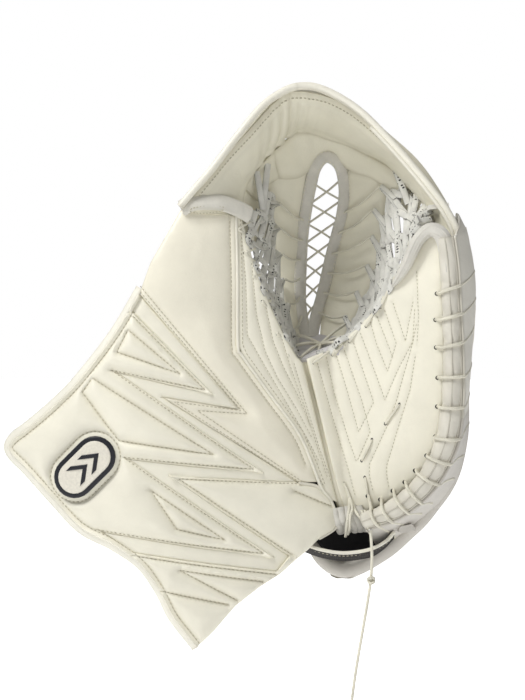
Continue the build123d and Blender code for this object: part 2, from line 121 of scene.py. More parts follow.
def spline(points, per=20):
    """Smooth curve through the given points, with a set count of points from each to the next."""
    p = np.array(points, float)
    e = np.vstack((2 * p[0] - p[1], p, 2 * p[-1] - p[-2]))
    t = np.linspace(0, 1, per, endpoint=False)[:, None]
    runs = [0.5 * (2 * b + (c - a) * t + (2 * a - 5 * b + 4 * c - d) * t**2 + (3 * b - a - 3 * c + d) * t**3)
            for a, b, c, d in zip(e, e[1:], e[2:], e[3:])]
    return np.vstack(runs + [p[-1:]])


def smooth(points, step=2.0):
    """Evenly spaced points on a smooth curve through the given ones."""
    return even(spline(points) if len(points) > 2 else points, step)


def corners_kept(points, step):
    """Closed outline with points added on its edges and its corners kept."""
    p = np.array(points, float)
    runs = [even((a, b), step)[:-1] for a, b in zip(p, np.roll(p, -1, axis=0))]
    return np.vstack(runs)


def beside(points, gap):
    """Run of points moved sideways in u and v by gap, to the left of its way."""
    p = np.array(points, float)
    way = unit(np.gradient(p, axis=0))
    left = np.zeros_like(p)
    left[:, 0], left[:, 1] = -way[:, 1], way[:, 0]
    return p + gap * left


def varied(line, *stops):
    """Value at each point of a line, from pairs of a share of the line and a value."""
    return np.interp(np.linspace(0, 1, len(line)), *zip(*stops))


def inset(points, gap):
    """Closed outline with every edge moved inward by gap, or outward where gap is below zero."""
    p = np.array(points, float)
    area = sum(a[0] * b[1] - b[0] * a[1] for a, b in zip(p, np.roll(p, -1, axis=0)))
    sign = 1 if area > 0 else -1
    out = []
    for a, b, c in zip(np.roll(p, 1, axis=0), p, np.roll(p, -1, axis=0)):
        d1, d2 = (b - a) / np.linalg.norm(b - a), (c - b) / np.linalg.norm(c - b)
        n1, n2 = sign * np.array((-d1[1], d1[0])), sign * np.array((-d2[1], d2[0]))
        mid = n1 + n2
        mid /= np.linalg.norm(mid)
        outer = sign * (d1[0] * d2[1] - d1[1] * d2[0]) * gap < 0
        out.append(b + mid * gap / max(mid @ n1, 0.75 if outer else 0.16))
    return np.array(out)


def distance(p, runs):
    """Distance from every point to the nearest of some runs."""
    best = np.full(len(p), 1e3)
    for run in runs:
        q = np.array(run, float)
        for a, b in zip(q[:-1], q[1:]):
            ab = b - a
            t = np.clip(((p - a) @ ab) / max(ab @ ab, 1e-9), 0, 1)
            best = np.minimum(best, np.hypot(*(p - a - t[:, None] * ab).T))
    return best


def within(p, outline):
    """Which points are inside a closed outline."""
    hit = np.zeros(len(p), bool)
    for a, b in zip(outline, np.roll(outline, -1, axis=0)):
        spans = (a[1] > p[:, 1]) != (b[1] > p[:, 1])
        rise = b[1] - a[1] if abs(b[1] - a[1]) > 1e-12 else 1e-12
        hit ^= spans & (p[:, 0] < (b[0] - a[0]) * (p[:, 1] - a[1]) / rise + a[0])
    return hit


def ring(points):
    """Closed run from an outline."""
    return np.vstack((points, points[:1]))


# ---------------------------------------------------------------- meshes

def new_object(name, data):
    obj = bpy.data.objects.new(name, data)
    bpy.context.collection.objects.link(obj)
    return obj


class Mesh:
    """Points, faces, face materials and UVs of one piece, in glove millimetres."""

    def __init__(self):
        self.points, self.faces, self.slots, self.uvs, self.count = [], [], [], [], 0

    def add(self, points, faces, slot=0, uvs=None):
        self.points.append(np.asarray(points, float).reshape(-1, 3))
        self.faces += [tuple(int(i) + self.count for i in f) for f in faces]
        self.slots += [slot] * len(faces)
        self.uvs += uvs if uvs is not None else [((0.0, 0.0),) * len(f) for f in faces]
        self.count += len(self.points[-1])
        return self

    def build(self, name, materials):
        data = bpy.data.meshes.new(name)
        data.from_pydata(to_row(np.vstack(self.points)).tolist(), [], self.faces)
        layer = data.uv_layers.new(name="along")
        layer.data.foreach_set("uv", [x for face in self.uvs for corner in face for x in corner])
        for m in materials:
            data.materials.append(m)
        data.polygons.foreach_set("material_index", self.slots)
        data.polygons.foreach_set("use_smooth", [True] * len(self.faces))
        data.set_sharp_from_angle(angle=SHARP)
        data.update()
        return new_object(name, data)


def grid(points, wrap=False, flip=False, scale=1.0):
    """Faces of a grid of points, rows by columns; wrap joins the last column to the first."""
    rows, cols = points.shape[:2]
    faces, uvs = [], []
    for i in range(rows - 1):
        for j in range(cols if wrap else cols - 1):
            k = (j + 1) % cols
            f = (i * cols + j, i * cols + k, (i + 1) * cols + k, (i + 1) * cols + j)
            t = ((i, j), (i, j + 1), (i + 1, j + 1), (i + 1, j))
            uv = tuple((a * scale, b / max(cols - (0 if wrap else 1), 1)) for a, b in t)
            faces.append(f[::-1] if flip else f)
            uvs.append(uv[::-1] if flip else uv)
    return faces, uvs


def tube(mesh, line, radius, sides=12, flat=1.0, facing=None, square=1.0, slot=0):
    """Tube round a line. flat is its thickness over its width, and facing is where its flat side looks.
    A square below one gives it a boxier section."""
    p = np.asarray(line, float)
    way = unit(np.gradient(p, axis=0))
    if facing is None:
        normals = [unit(np.cross(way[0], (0.3, 0.2, 1.0)))]
        for t in way[1:]:
            normals.append(unit(normals[-1] - t * (normals[-1] @ t)))
        normal = np.array(normals)
    else:
        look = np.broadcast_to(np.asarray(facing, float), p.shape)
        normal = unit(look - way * np.sum(look * way, axis=1)[:, None])
    side = np.cross(way, normal)
    angle = np.linspace(0, 2 * math.pi, sides, endpoint=False)[None, :]
    c, d = [np.sign(wave) * np.abs(wave) ** square for wave in (np.cos(angle), np.sin(angle))]
    r = np.asarray(radius, float).reshape(-1, 1) if np.ndim(radius) == 1 else radius
    points = p[:, None] + side[:, None] * (c * r)[..., None] + normal[:, None] * (d * r * flat)[..., None]
    step = length_along(p)[-1] / max(len(p) - 1, 1)
    faces, uvs = grid(points, wrap=True, scale=step)
    for end, order in ((0, -1), (len(p) - 1, 1)):
        faces.append(tuple(end * sides + j for j in range(sides))[::order])
        uvs.append(((end * step, 0.5),) * sides)
    mesh.add(points, faces, slot, uvs)


def bowed(mesh, start, end, bow, radius, sides=8, **look):
    """Lace from one point to another, with its middle moved by bow."""
    a, b = np.array(start, float), np.array(end, float)
    tube(mesh, smooth([a, (a + b) / 2 + bow, b], 1.5), radius, sides, **look)


# Sections of one stitch: how far along it, share of its radius, and rise over the surface
STITCH = np.array([(0.0, 0.35, -0.4), (0.2, 0.9, 0.5), (0.5, 1.0, 1.0), (0.8, 0.9, 0.5), (1.0, 0.35, -0.4)])


def sew(mesh, line, length=2.4, gap=1.3, radius=0.42, lift=0.15, slot=0, sides=6):
    """Row of thread stitches along a line that lies on a surface."""
    p = np.asarray(line, float)
    s = length_along(p)
    count = int((s[-1] - gap) // (length + gap))
    if count < 1:
        return
    share, swell, rise = STITCH.T
    where = (np.arange(count) * (length + gap) + gap)[:, None] + share * length
    q = np.stack([np.interp(where, s, p[:, k]) for k in range(3)], axis=-1)
    way = unit(q[:, -1] - q[:, 0])
    normal = unit(np.array((0.0, 0.0, 1.0)) - way * way[:, 2:])
    side = np.cross(way, normal)
    q = q + normal[:, None] * (rise * lift + lift)[:, None]
    angle = np.linspace(0, 2 * math.pi, sides, endpoint=False)[:, None]
    spokes = side[:, None, None] * np.cos(angle) + normal[:, None, None] * np.sin(angle)
    points = q[:, :, None] + spokes * (swell * radius)[:, None, None]
    one, _ = grid(points[0], wrap=True)
    one += [tuple(range(sides))[::-1], tuple((len(STITCH) - 1) * sides + j for j in range(sides))]
    per = len(STITCH) * sides
    mesh.add(points, [tuple(i + n * per for i in f) for n in range(count) for f in one], slot)


TRIANGLE_RISE = 0.87  # height of an even triangle over its side
RIM_LEAD = 1.5  # a pad's face starts to puff this far outside its rim
CROWN_REACH = 24.0  # how far in from the rim the slow swell of a pad's middle builds up
STEP_SLOPE = 0.9  # width of the slope round a recessed place


class Quilt:
    """Padded leather face: it puffs between its stitch rows and edges, and rounds over at its rim.

    puff and reach are how high it puffs and how soon, sink and groove how deep and wide a stitch row pulls it
    in, edge the rim's rounding, crown the slow swell of its middle, and extra adds folds of its own. Each step
    is a recessed shape, how deep it lies and how much of the puff it keeps.
    """

    def __init__(self, outline, rows=(), puff=3.0, reach=7.0, sink=0.9, edge=2.6, crown=0.0, extra=None,
                 steps=(), groove=1.1):
        self.outline = np.array(outline, float)
        self.rows = [np.array(r, float) for r in rows]
        self.puff, self.reach, self.sink, self.edge = puff, reach, sink, edge
        self.crown, self.extra, self.groove = crown, extra, groove
        self.steps = [(np.array(shape, float), deep, keep) for shape, deep, keep in steps]

    def height(self, p):
        rim = distance(p, [ring(self.outline)])
        seam = distance(p, self.rows)
        h = self.puff * (1 - np.exp(-np.minimum(rim + RIM_LEAD, seam) / self.reach))
        for shape, deep, keep in self.steps:
            gap = distance(p, [ring(shape)])
            share = np.clip(0.5 + np.where(within(p, shape), gap, -gap) / STEP_SLOPE, 0, 1)
            h = h * (1 - share * (1 - keep)) - deep * share
        h -= self.sink * np.exp(-((seam / self.groove) ** 2))
        h += self.crown * (1 - np.exp(-rim / CROWN_REACH))
        near = np.clip(self.edge - rim, 0, self.edge)
        h -= self.edge - np.sqrt(np.maximum(self.edge**2 - near**2, 0))
        if self.extra:
            h += self.extra(p)
        return h

    def on(self, run, lift=0.0):
        """Surface points over a run of u, v points."""
        p = np.asarray(run, float)[:, :2]
        return np.column_stack((p, face_w(p[:, 0]) + self.height(p) + lift))


def panel(mesh, quilt, depth, step=2.6, shell=False, slot=0, back_slot=1):
    """Closed padded panel: the quilt's face, its back and walls between them.

    The back lies depth behind the flat leather, or behind the face itself in a shell. Extra points follow the
    rim, the steps and the stitch rows.
    """
    outline = corners_kept(quilt.outline, step * 0.8)
    closed = ring(outline)
    low, high = outline.min(0), outline.max(0)
    gx, gy = np.meshgrid(np.arange(low[0], high[0], step), np.arange(low[1], high[1], step * TRIANGLE_RISE))
    gx[1::2] += step / 2
    inner = np.column_stack((gx.ravel(), gy.ravel()))
    inner = inner[within(inner, outline)]
    keep = [inner[(distance(inner, [closed]) > 2.0) & (distance(inner, quilt.rows) > 2.0)]]

    def follow(line, gaps, clear):
        for gap in gaps:
            near = beside(line, gap)
            near = near[within(near, outline)]
            keep.append(near[distance(near, [closed]) > clear])

    follow(closed, (0.5, -0.5), 0.4)
    follow(closed, (1.3, -1.3), 1.04)
    for shape, *_ in quilt.steps:
        follow(even(ring(shape), 2.0), (0.5, -0.5), 0.4)
    for run in quilt.rows:
        follow(even(run, 1.5), (0.0, 1.0, -1.0), 0.9)
    loop = [(i, (i + 1) % len(outline)) for i in range(len(outline))]
    flat = [Vector(q) for q in np.vstack([outline] + keep)]
    verts, _, tris, *_ = delaunay_2d_cdt(flat, loop, [], 1, 0.05)
    p = np.array([tuple(v) for v in verts])
    base = face_w(p[:, 0])
    top = base + quilt.height(p)
    back = np.column_stack((p, (top if shell else base) - depth))
    edges = dict.fromkeys(e for a, b, c in tris for e in ((a, b), (b, c), (c, a)))
    n = len(p)
    walls = [(b, a, a + n, b + n) for a, b in edges if (b, a) not in edges]
    mesh.add(np.vstack((np.column_stack((p, top)), back)), [tuple(t) for t in tris] + walls, slot)
    mesh.add(back, [tuple(t)[::-1] for t in tris], back_slot)
    return mesh


def stitch(mesh, quilt, runs, **look):
    """Stitches along runs of u, v points on a quilt's face."""
    for run in runs:
        sew(mesh, quilt.on(even(run, 1.0)), **look)
    return mesh


def wall(mesh, points, thick, slot=0):
    """Closed skin from a grid of points: its face, a back thick behind it, and a rounded rim."""
    back = points - thick * unit(np.cross(np.gradient(points, axis=0), np.gradient(points, axis=1)))
    for side, flip in ((points, False), (back, True)):
        faces, uvs = grid(side, flip=flip)
        mesh.add(side, faces, slot, uvs)
    rows, cols = points.shape[:2]
    rim = [(0, j) for j in range(cols)] + [(i, cols - 1) for i in range(1, rows)]
    rim += [(rows - 1, j) for j in range(cols - 2, -1, -1)] + [(i, 0) for i in range(rows - 2, 0, -1)]
    i, j = np.array(rim).T
    a, b = points[i, j], back[i, j]
    inside = points[np.clip(i, 1, rows - 2), np.clip(j, 1, cols - 2)]
    middle = (a + b) / 2 + (a - inside) * 0.25
    n = len(i)
    faces = []
    for k in range(n):
        m = (k + 1) % n
        faces += [(m, k, k + n, m + n), (m + n, k + n, k + 2 * n, m + 2 * n)]
    mesh.add(np.vstack((a, middle, b)), faces, slot)
    return mesh


def turned(points, axis=0):
    """Grid of points with its face to the viewer."""
    looks = np.mean(np.cross(np.gradient(points, axis=0), np.gradient(points, axis=1))[..., 2])
    return points if looks > 0 else np.flip(points, axis)


def sleeve(mesh, sections):
    """Closed skin over a row of closed sections, with its two ends shut."""
    faces, uvs = grid(sections, wrap=True, flip=True)
    mesh.add(sections, faces, 0, uvs)
    end = tuple(range(sections.shape[1]))
    mesh.add(sections[0], [end])
    mesh.add(sections[-1], [end[::-1]])
    return mesh


# ---------------------------------------------------------------- materials

WHITE, BLACK = (1, 1, 1, 1), (0, 0, 0, 1)


def srgb(r, g, b):
    """Linear colour from display values of 0 to 255."""
    values = [c / 255 for c in (r, g, b)]
    return tuple(c / 12.92 if c <= 0.04045 else ((c + 0.055) / 1.055) ** 2.4 for c in values) + (1.0,)


def shade(color, amount):
    return tuple(min(c * amount, 1.0) for c in color[:3]) + (1.0,)


class Nodes:
    """Short hand for building the nodes of a material or of the world."""

    def __init__(self, owner, shader="Principled BSDF"):
        owner.use_nodes = True
        self.owner, self.tree, self.shader = owner, owner.node_tree, owner.node_tree.nodes[shader]

    def plug(self, node, inputs):
        for key, value in dict(inputs).items():
            if isinstance(value, bpy.types.NodeSocket):
                self.tree.links.new(value, node.inputs[key])
            else:
                node.inputs[key].default_value = value

    def node(self, kind, inputs=(), **settings):
        n = self.tree.nodes.new("ShaderNode" + kind)
        for key, value in settings.items():
            setattr(n, key, value)
        self.plug(n, inputs)
        return n

    def finish(self, inputs):
        self.plug(self.shader, inputs)
        return self.owner

    def place(self):
        return self.node("TexCoord").outputs["Object"]

    def noise(self, scale, detail, rough=0.5, distortion=0.0):
        return self.node("TexNoise", {"Vector": self.place(), "Scale": scale, "Detail": detail,
                                      "Roughness": rough, "Distortion": distortion}).outputs["Fac"]

    def math(self, operation, *values):
        return self.node("Math", dict(enumerate(values)), operation=operation).outputs[0]

    def mix(self, a, b, factor=1.0, blend="MIX"):
        return self.node("Mix", {"Factor": factor, "A": a, "B": b}, data_type="RGBA",
                         blend_type=blend).outputs["Result"]

    def ramp(self, source, *stops):
        n = self.node("ValToRGB", {"Fac": source})
        for element, (place, color) in zip(n.color_ramp.elements, stops):
            element.position, element.color = place, color
        return n.outputs["Color"]

    def tones(self, source, color, low, high, low_at=0.3, high_at=0.7):
        """Colour that runs from one share of its brightness to another."""
        return self.ramp(source, (low_at, shade(color, low)), (high_at, shade(color, high)))

    def span(self, source, low, high, from_low=0.0, from_high=1.0):
        return self.node("MapRange", {"Value": source, "From Min": from_low, "From Max": from_high,
                                      "To Min": low, "To Max": high}).outputs["Result"]

    def bump(self, height, strength, reach, under=None):
        normal = {} if under is None else {"Normal": under}
        return self.node("Bump", {"Height": height, "Strength": strength, "Distance": reach,
                                  **normal}).outputs["Normal"]


def new_nodes(name):
    return Nodes(bpy.data.materials.new(name))


def leather(name, color, rough=0.42, grain=0.25, cell=1.1, crumple=0.3, hollow_shade=0.82):
    """Grained leather: pebbled cells, soft creasing, mottled colour, and painted shade that darkens its
    hollows.
    """
    n = new_nodes(name)
    tone = n.tones(n.noise(22.0, 5.0, 0.6), color, 0.93, 1.04, high_at=0.72)
    hollow = n.node("NewGeometry").outputs["Pointiness"]
    # painted shade: the hollows, found from pointiness, are darkened
    shaded_hollows = n.ramp(n.span(hollow, 0.0, 1.0, 0.44, 0.5), (0.0, shade((1, 0.985, 0.95), hollow_shade)), (1.0, WHITE))
    cells = n.node("TexVoronoi", {"Vector": n.place(), "Scale": 1000.0 / cell}, feature="DISTANCE_TO_EDGE")
    creased = n.bump(n.noise(75.0, 6.0, 0.62, 0.6), crumple, 0.0016)
    return n.finish({"Base Color": n.mix(tone, shaded_hollows, blend="MULTIPLY"),
                     "Roughness": n.span(n.noise(420.0, 3.0), rough - 0.07, rough + 0.1),
                     "Normal": n.bump(cells.outputs["Distance"], grain, 0.0005, creased),
                     "Specular IOR Level": 0.4})


def suede(name, color, nap=0.5, sheen=0.35):
    """Napped suede or brushed tape: soft fibre bump, cloudy tone and a sheen."""
    n = new_nodes(name)
    cloud, fibre = n.noise(60.0, 6.0, 0.7), n.noise(900.0, 2.0, distortion=1.2)
    return n.finish({"Base Color": n.tones(cloud, color, 0.86, 1.05),
                     "Roughness": n.span(fibre, 0.82, 0.96),
                     "Normal": n.bump(fibre, nap, 0.0004, n.bump(cloud, 0.35, 0.001)),
                     "Sheen Weight": sheen, "Specular IOR Level": 0.25})


def lace(name, color, pitch=1.6, flecks=None, rough=0.62, slant=5.0, edges=None):
    """Braided lace, from its UVs: slanted yarns, and where asked, dark flecks along it and darker edges of
    painted shade.
    flecks says how far apart they lie and in what colour."""
    n = new_nodes(name)
    along = n.node("UVMap", uv_map="along").outputs["UV"]
    x, y, _ = n.node("SeparateXYZ", {"Vector": along}).outputs
    turns = n.math("MULTIPLY", x, 2 * math.pi / pitch)
    yarns = [n.math("SINE", n.math("ADD", turns, n.math("MULTIPLY", y, sign * slant * 2 * math.pi)))
             for sign in (1, -1)]
    dust = n.noise(90.0, 4.0)
    tone = n.tones(dust, color, 0.84, 1.04)
    if flecks:
        apart, dark = flecks
        cell = n.node("CombineXYZ", {"X": n.math("MULTIPLY", x, 1.0 / apart),
                                     "Y": n.math("MULTIPLY", y, 5.0)})
        spots = n.node("TexVoronoi", {"Vector": cell.outputs[0], "Scale": 1.0, "Randomness": 0.35})
        fleck = n.ramp(spots.outputs["Distance"], (0.25, WHITE), (0.31, BLACK))
        patch = n.ramp(n.noise(55.0, 0.0), (0.51, BLACK), (0.54, WHITE))
        tone = n.mix(tone, dark, n.math("MULTIPLY", fleck, patch))
    # painted shade: the lace darkens towards its flattened edges
    if edges:
        across = n.math("COSINE", n.math("MULTIPLY", y, 4 * math.pi))
        tone = n.mix(tone, n.ramp(across, (0.45, WHITE), (0.95, (edges, edges, edges, 1))), blend="MULTIPLY")
    return n.finish({"Base Color": tone, "Roughness": n.span(dust, rough - 0.08, rough + 0.1),
                     "Normal": n.bump(n.math("MAXIMUM", *yarns), 0.6, 0.00035), "Specular IOR Level": 0.35})


def webbing(name, color, pitch=2.0, rough=0.75):
    """Woven strap: a plain weave of ribs from object coordinates."""
    n = new_nodes(name)
    scale = 100 * math.pi / pitch  # a wave texture's band is pi / 10 over its scale
    weave = n.math("MULTIPLY", *[n.node("TexWave", {"Vector": n.place(), "Scale": scale, "Distortion": 0.2},
                                        bands_direction=axis).outputs["Fac"] for axis in "XZ"])
    return n.finish({"Base Color": n.tones(weave, color, 0.7, 1.3, 0.1, 0.8), "Roughness": rough,
                     "Normal": n.bump(weave, 0.6, 0.0005)})


def moulded(name, color, rough=0.35, metal=0.0, dimple=0.12):
    """Moulded rubber, enamel or metal with a fine orange peel and small tone changes."""
    n = new_nodes(name)
    peel = n.noise(500.0, 3.0)
    return n.finish({"Base Color": n.tones(peel, color, 0.92, 1.05),
                     "Roughness": n.span(peel, rough - 0.05, rough + 0.08),
                     "Normal": n.bump(peel, dimple, 0.0003), "Metallic": metal})


IVORY = leather("ivory leather", srgb(238, 234, 217))
IVORY_SMOOTH = leather("smooth ivory leather", srgb(236, 231, 213), rough=0.36, grain=0.16, crumple=0.22)
CROWN = leather("crown leather", srgb(233, 229, 210), rough=0.4, grain=0.2, crumple=0.35)
PIPING = leather("piping leather", srgb(246, 243, 230), rough=0.38, grain=0.15, cell=0.8, crumple=0.2)
SIDE = leather("side band leather", srgb(228, 225, 214), crumple=0.4, hollow_shade=0.75)
ROLL = leather("edge roll leather", srgb(224, 220, 208), rough=0.45, grain=0.3, crumple=0.6, hollow_shade=0.7)
GUARD = leather("guard leather", srgb(238, 236, 228), crumple=0.35)
# darker copy of the guard leather, as painted shade on the guard's lower parts
GUARD_PAINTED_SHADE = leather("guard leather in painted shade", srgb(204, 200, 192), rough=0.45, grain=0.3, crumple=0.5)
SUEDE = suede("grey suede binding", srgb(214, 211, 202))
TAPE = suede("suede tape", srgb(217, 214, 203), nap=0.7)
BASE_CLOTH = suede("pocket base cloth", srgb(205, 202, 202))
LINING = suede("dark hand lining", srgb(42, 41, 43), nap=0.4, sheen=0.1)
PALE_LINING = suede("pale lining", srgb(188, 184, 172), nap=0.6)
# thread colour darkened below the real pale thread, as painted shade of the needle holes along its rows
THREAD_WITH_PAINTED_SHADE = lace("sewing thread", srgb(196, 190, 168), pitch=0.8)
PALE_THREAD = lace("pale sewing thread", srgb(226, 221, 202), pitch=0.8)
WAXED = lace("waxed lace", srgb(230, 226, 209), pitch=1.5, slant=2.0, rough=0.5)
# edges=0.5 darkens these laces' edges as painted shade
SKATE = lace("flecked skate lace", srgb(226, 225, 218), pitch=1.3, flecks=(3.1, srgb(8, 8, 12)), edges=0.5)
SKATE_PLAIN = lace("plain skate lace", srgb(224, 223, 216), pitch=1.3, edges=0.5)
STRAP = webbing("dark strap webbing", srgb(46, 43, 40))
STRAP_PALE = webbing("pale strap webbing", srgb(222, 218, 205), pitch=1.6)
HOOK = webbing("hook and loop", srgb(60, 58, 56), pitch=1.2, rough=0.95)
BADGE_DARK = moulded("badge rubber, dark", srgb(20, 21, 30), rough=0.4)
BADGE_LIGHT = moulded("badge rubber, pale", srgb(226, 221, 207), rough=0.32)
# painted shade: dark colour standing in for the inside of a punched hole
HOLE_PAINTED_SHADE = moulded("punched hole", srgb(24, 21, 19), rough=0.9)
NICKEL = moulded("eyelet metal", srgb(190, 188, 182), rough=0.25, metal=1.0, dimple=0.05)
AGLET = moulded("lace tip", srgb(224, 220, 206), rough=0.25)


# ---------------------------------------------------------------- how a piece moves

def moves(obj, side):
    """Pieces of the thumb and finger sides stay fixed where they are built; any other piece hangs from the
    empty of its body.
    """
    if side == "thumb":
        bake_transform(obj)
    elif side == "finger":
        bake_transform(obj)
    else:
        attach(obj, side)
    return obj


def piece(mesh, name, materials, side, nodes=()):
    """One piece: how it moves and the CAD nodes it replaces."""
    obj = moves(mesh.build(name, materials), side)
    if nodes:
        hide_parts(*nodes)
    return obj


def dent(p, *waves):
    """Slow soft dents: each wave is direction u, v, length and height."""
    return sum(h * np.sin((p[:, 0] * a + p[:, 1] * b) / size + size) for a, b, size, h in waves)


# ---------------------------------------------------------------- camera

camera = new_object("camera", bpy.data.cameras.new("camera"))
camera.location = (-0.08055, -1.322, 0.1755)
camera.rotation_euler = (math.pi / 2, 0, 0)
camera.data.lens = 74.3
camera.data.sensor_width = 36
camera.data.clip_end = 20
bpy.context.scene.camera = camera

# ---------------------------------------------------------------- hanging heel lace

TAIL_W = 22.5  # how far in front of the crease the loose lace hangs
LACE_RADIUS = 1.3
TAIL_ROUTE = [(16.5, 14.5), (16.3, 2.0), (15.0, -13.0), (12.2, -29.0), (6.6, -50.0), (-0.8, -75.0),
              (-9.0, -103.0), (-15.8, -129.0), (-19.6, -146.0)]
tail_data = bpy.data.curves.new("hanging_lace", "CURVE")
tail_data.dimensions = "3D"
tail_line = tail_data.splines.new("NURBS")
tail_line.points.add(len(TAIL_ROUTE) - 1)
for point, (u, v) in zip(tail_line.points, TAIL_ROUTE):
    point.co = (*row(u, v, TAIL_W), 1.0)
tail_line.order_u = 3
tail_line.use_endpoint_u = True
tail_data.bevel_depth = LACE_RADIUS * MM
tail_data.bevel_resolution = 5
tail_data.resolution_u = 14
tail_data.materials.append(WAXED)
hanging_lace = new_object("hanging_lace", tail_data)
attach(hanging_lace, "finger_half")
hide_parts("lace_tail")

# An overhand knot round the lace: two loops, one over the other
knot = Mesh()
a = np.linspace(0, 2 * math.pi, 26)
for across, tilt, shift in ((2.5, 0.7, 0.9), (2.3, -0.6, -1.1)):
    loop = np.column_stack((12.2 + across * np.cos(a), -29.5 + shift + tilt * across * np.sin(a),
                            TAIL_W + across * np.sin(a)))
    tube(knot, loop, 1.35, 10)
lace_knot = piece(knot, "lace_knot_loops", [WAXED], "finger_half", ["lace_knot"])

tip = Mesh()
tip_line = smooth([(-19.3, -144.6, TAIL_W), (-22.4, -158.6, TAIL_W)], 1.5)
tube(tip, tip_line, np.linspace(1.65, 1.1, len(tip_line)), 14)
lace_end = piece(tip, "lace_end_tip", [AGLET], "finger_half", ["lace_tip"])

grommet = Mesh()
a = np.linspace(0, 2 * math.pi, 33)
tube(grommet, np.column_stack((16.5 + 2.4 * np.cos(a), np.full(33, 15.2), TAIL_W + 2.4 * np.sin(a))), 0.8, 8)
eyelet = piece(grommet, "lace_grommet", [NICKEL], "finger_half", ["lace_eyelet"])

# ---------------------------------------------------------------- finger side of the palm

ROLL_LINE = [(108, 262, 52), (108, 236, 53), (106, 205, 53), (103, 165, 52), (97.5, 122, 50), (88, 86, 46),
             (68.5, 54.5, 40), (41, 33, 31), (13, 22, 16)]
roll_uv = [(u, v) for u, v, w in ROLL_LINE]
roll_edge = smooth(beside(roll_uv, -5.5), 4)[::-1]
POCKET_RIM = [(-22, 171), (-9.5, 174.5), (4, 178), (20, 189), (36, 201), (50, 216), (64, 232), (76, 247)]
PALM_TIP = [(81, 254), (87, 268), (95.5, 276.5), (101, 272)]
CREASE_EDGE = [(-21.6, 166), (-15.6, 118), (-11, 80), (-6.4, 48), (-2, 28)]
palm_outline = np.vstack((smooth(POCKET_RIM, 4), PALM_TIP, roll_edge[::-1][1:], CREASE_EDGE[::-1]))

CHEVRONS = [  # stitched arrowheads and stripes of the palm
    [(-13, 168), (-10, 150), (-4, 114), (0, 92), (4, 69), (8, 42)],
    [(-4, 172), (-1, 141), (7, 97), (12, 75), (14, 77), (27, 100), (23, 128), (19, 146), (12, 178)],
    [(5, 172), (11, 139), (17, 101), (33, 126), (28, 150), (21, 183)],
    [(28, 190), (37, 153), (43, 127), (56, 151), (72, 176), (77, 206)],
    [(38, 199), (41, 178), (48, 152), (58, 176), (51, 208)],
    [(44, 203), (54, 163)],
    [(59, 213), (66, 177), (70, 191), (77, 214)],
    [(77, 192), (72, 175), (59, 142), (53, 126), (43, 105), (34, 90), (23, 71), (22, 61), (24, 44)],
    [(73, 164), (65, 133), (55, 110), (48, 93), (38, 69), (37, 59), (38, 47)],
    [(82, 238), (80, 212), (79, 196), (75, 172)],
]
palm = Quilt(palm_outline, CHEVRONS, puff=0.7, reach=3.2, sink=0.45, edge=2.2, crown=2.0,
             extra=lambda p: dent(p, (1, 0.3, 24, 0.8), (0.4, 1, 31, 0.7)))
piece(panel(Mesh(), palm, 12.0), "finger_palm_pad", [IVORY, PALE_LINING], "finger",
      ["palm_cover", "palm_foam", "palm_liner"])
FINE = {"radius": 0.36, "length": 2.0, "gap": 1.3}  # the palm's finer stitches
piece(stitch(Mesh(), palm, CHEVRONS, **FINE), "finger_palm_stitching", [THREAD_WITH_PAINTED_SHADE], "finger")

# Lace that is threaded through the palm leather, with its punched holes
palm_laces, holes = Mesh(), Mesh()


def punch(mesh, at, radius=1.5, count=14):
    """Dark disc of painted shade that stands for a punched hole, on the leather, facing the viewer."""
    a = np.linspace(0, 2 * math.pi, count, endpoint=False)
    circle = radius * np.column_stack((np.cos(a), np.sin(a), np.zeros(count)))
    faces = [(i, (i + 1) % count, (i + 1) % count + count, i + count) for i in range(count)]
    faces.append(tuple(range(count, 2 * count)))
    mesh.add(np.vstack((at + circle, at + 0.5 * circle + (0, 0, 0.25))), faces)


def threaded(mesh, surface, start, end, bow=2.0, radius=1.2):
    """Short lace that comes out of one hole and goes into another."""
    run = surface.on(even([start, end], np.hypot(*np.subtract(end, start)) / 8))
    arch = np.sin(np.linspace(0, math.pi, len(run)))
    run[:, 2] += bow * arch**0.5 - 0.6
    tube(mesh, run, radius, 10)


for start, end in (((55, 122), (41, 106)), ((28, 93), (17, 75)), ((18, 60), (19, 42)), ((-1, 56), (3, 40))):
    threaded(palm_laces, palm, start, end)
    for spot in (start, end):
        punch(holes, palm.on([spot], 0.1)[0])

# ---------------------------------------------------------------- edge roll and its lace

SIDE_EDGE = [(130, 268, 18), (132, 240, 21), (131, 212, 21), (124, 172, 21), (116, 128, 20), (110, 84, 16),
             (95, 44, 8), (63, 12, 0), (26, -14, -8)]  # outer edge of the hand's side, beside each roll point
roll_line, side_edge = spline(ROLL_LINE, 22), spline(SIDE_EDGE, 22)
roll_way = unit(np.gradient(roll_line, axis=0))
outward = unit(-np.cross(roll_way, (0, 0, 1.0)))
frontward = np.cross(roll_way, outward)
roll_size = varied(roll_line, (0, 7.9), (0.35, 8.6), (0.62, 10.4), (0.85, 9.6), (1, 8.0))
roll_line = roll_line + outward * (0.5 * (roll_size - 7.9))[:, None]
band_swell = varied(roll_line, (0, 2.6), (0.45, 2.0), (0.65, -2.4), (1, -3.0))
BAND_ANGLE = 0.55  # how far round the roll, from straight outward, the band beside it begins


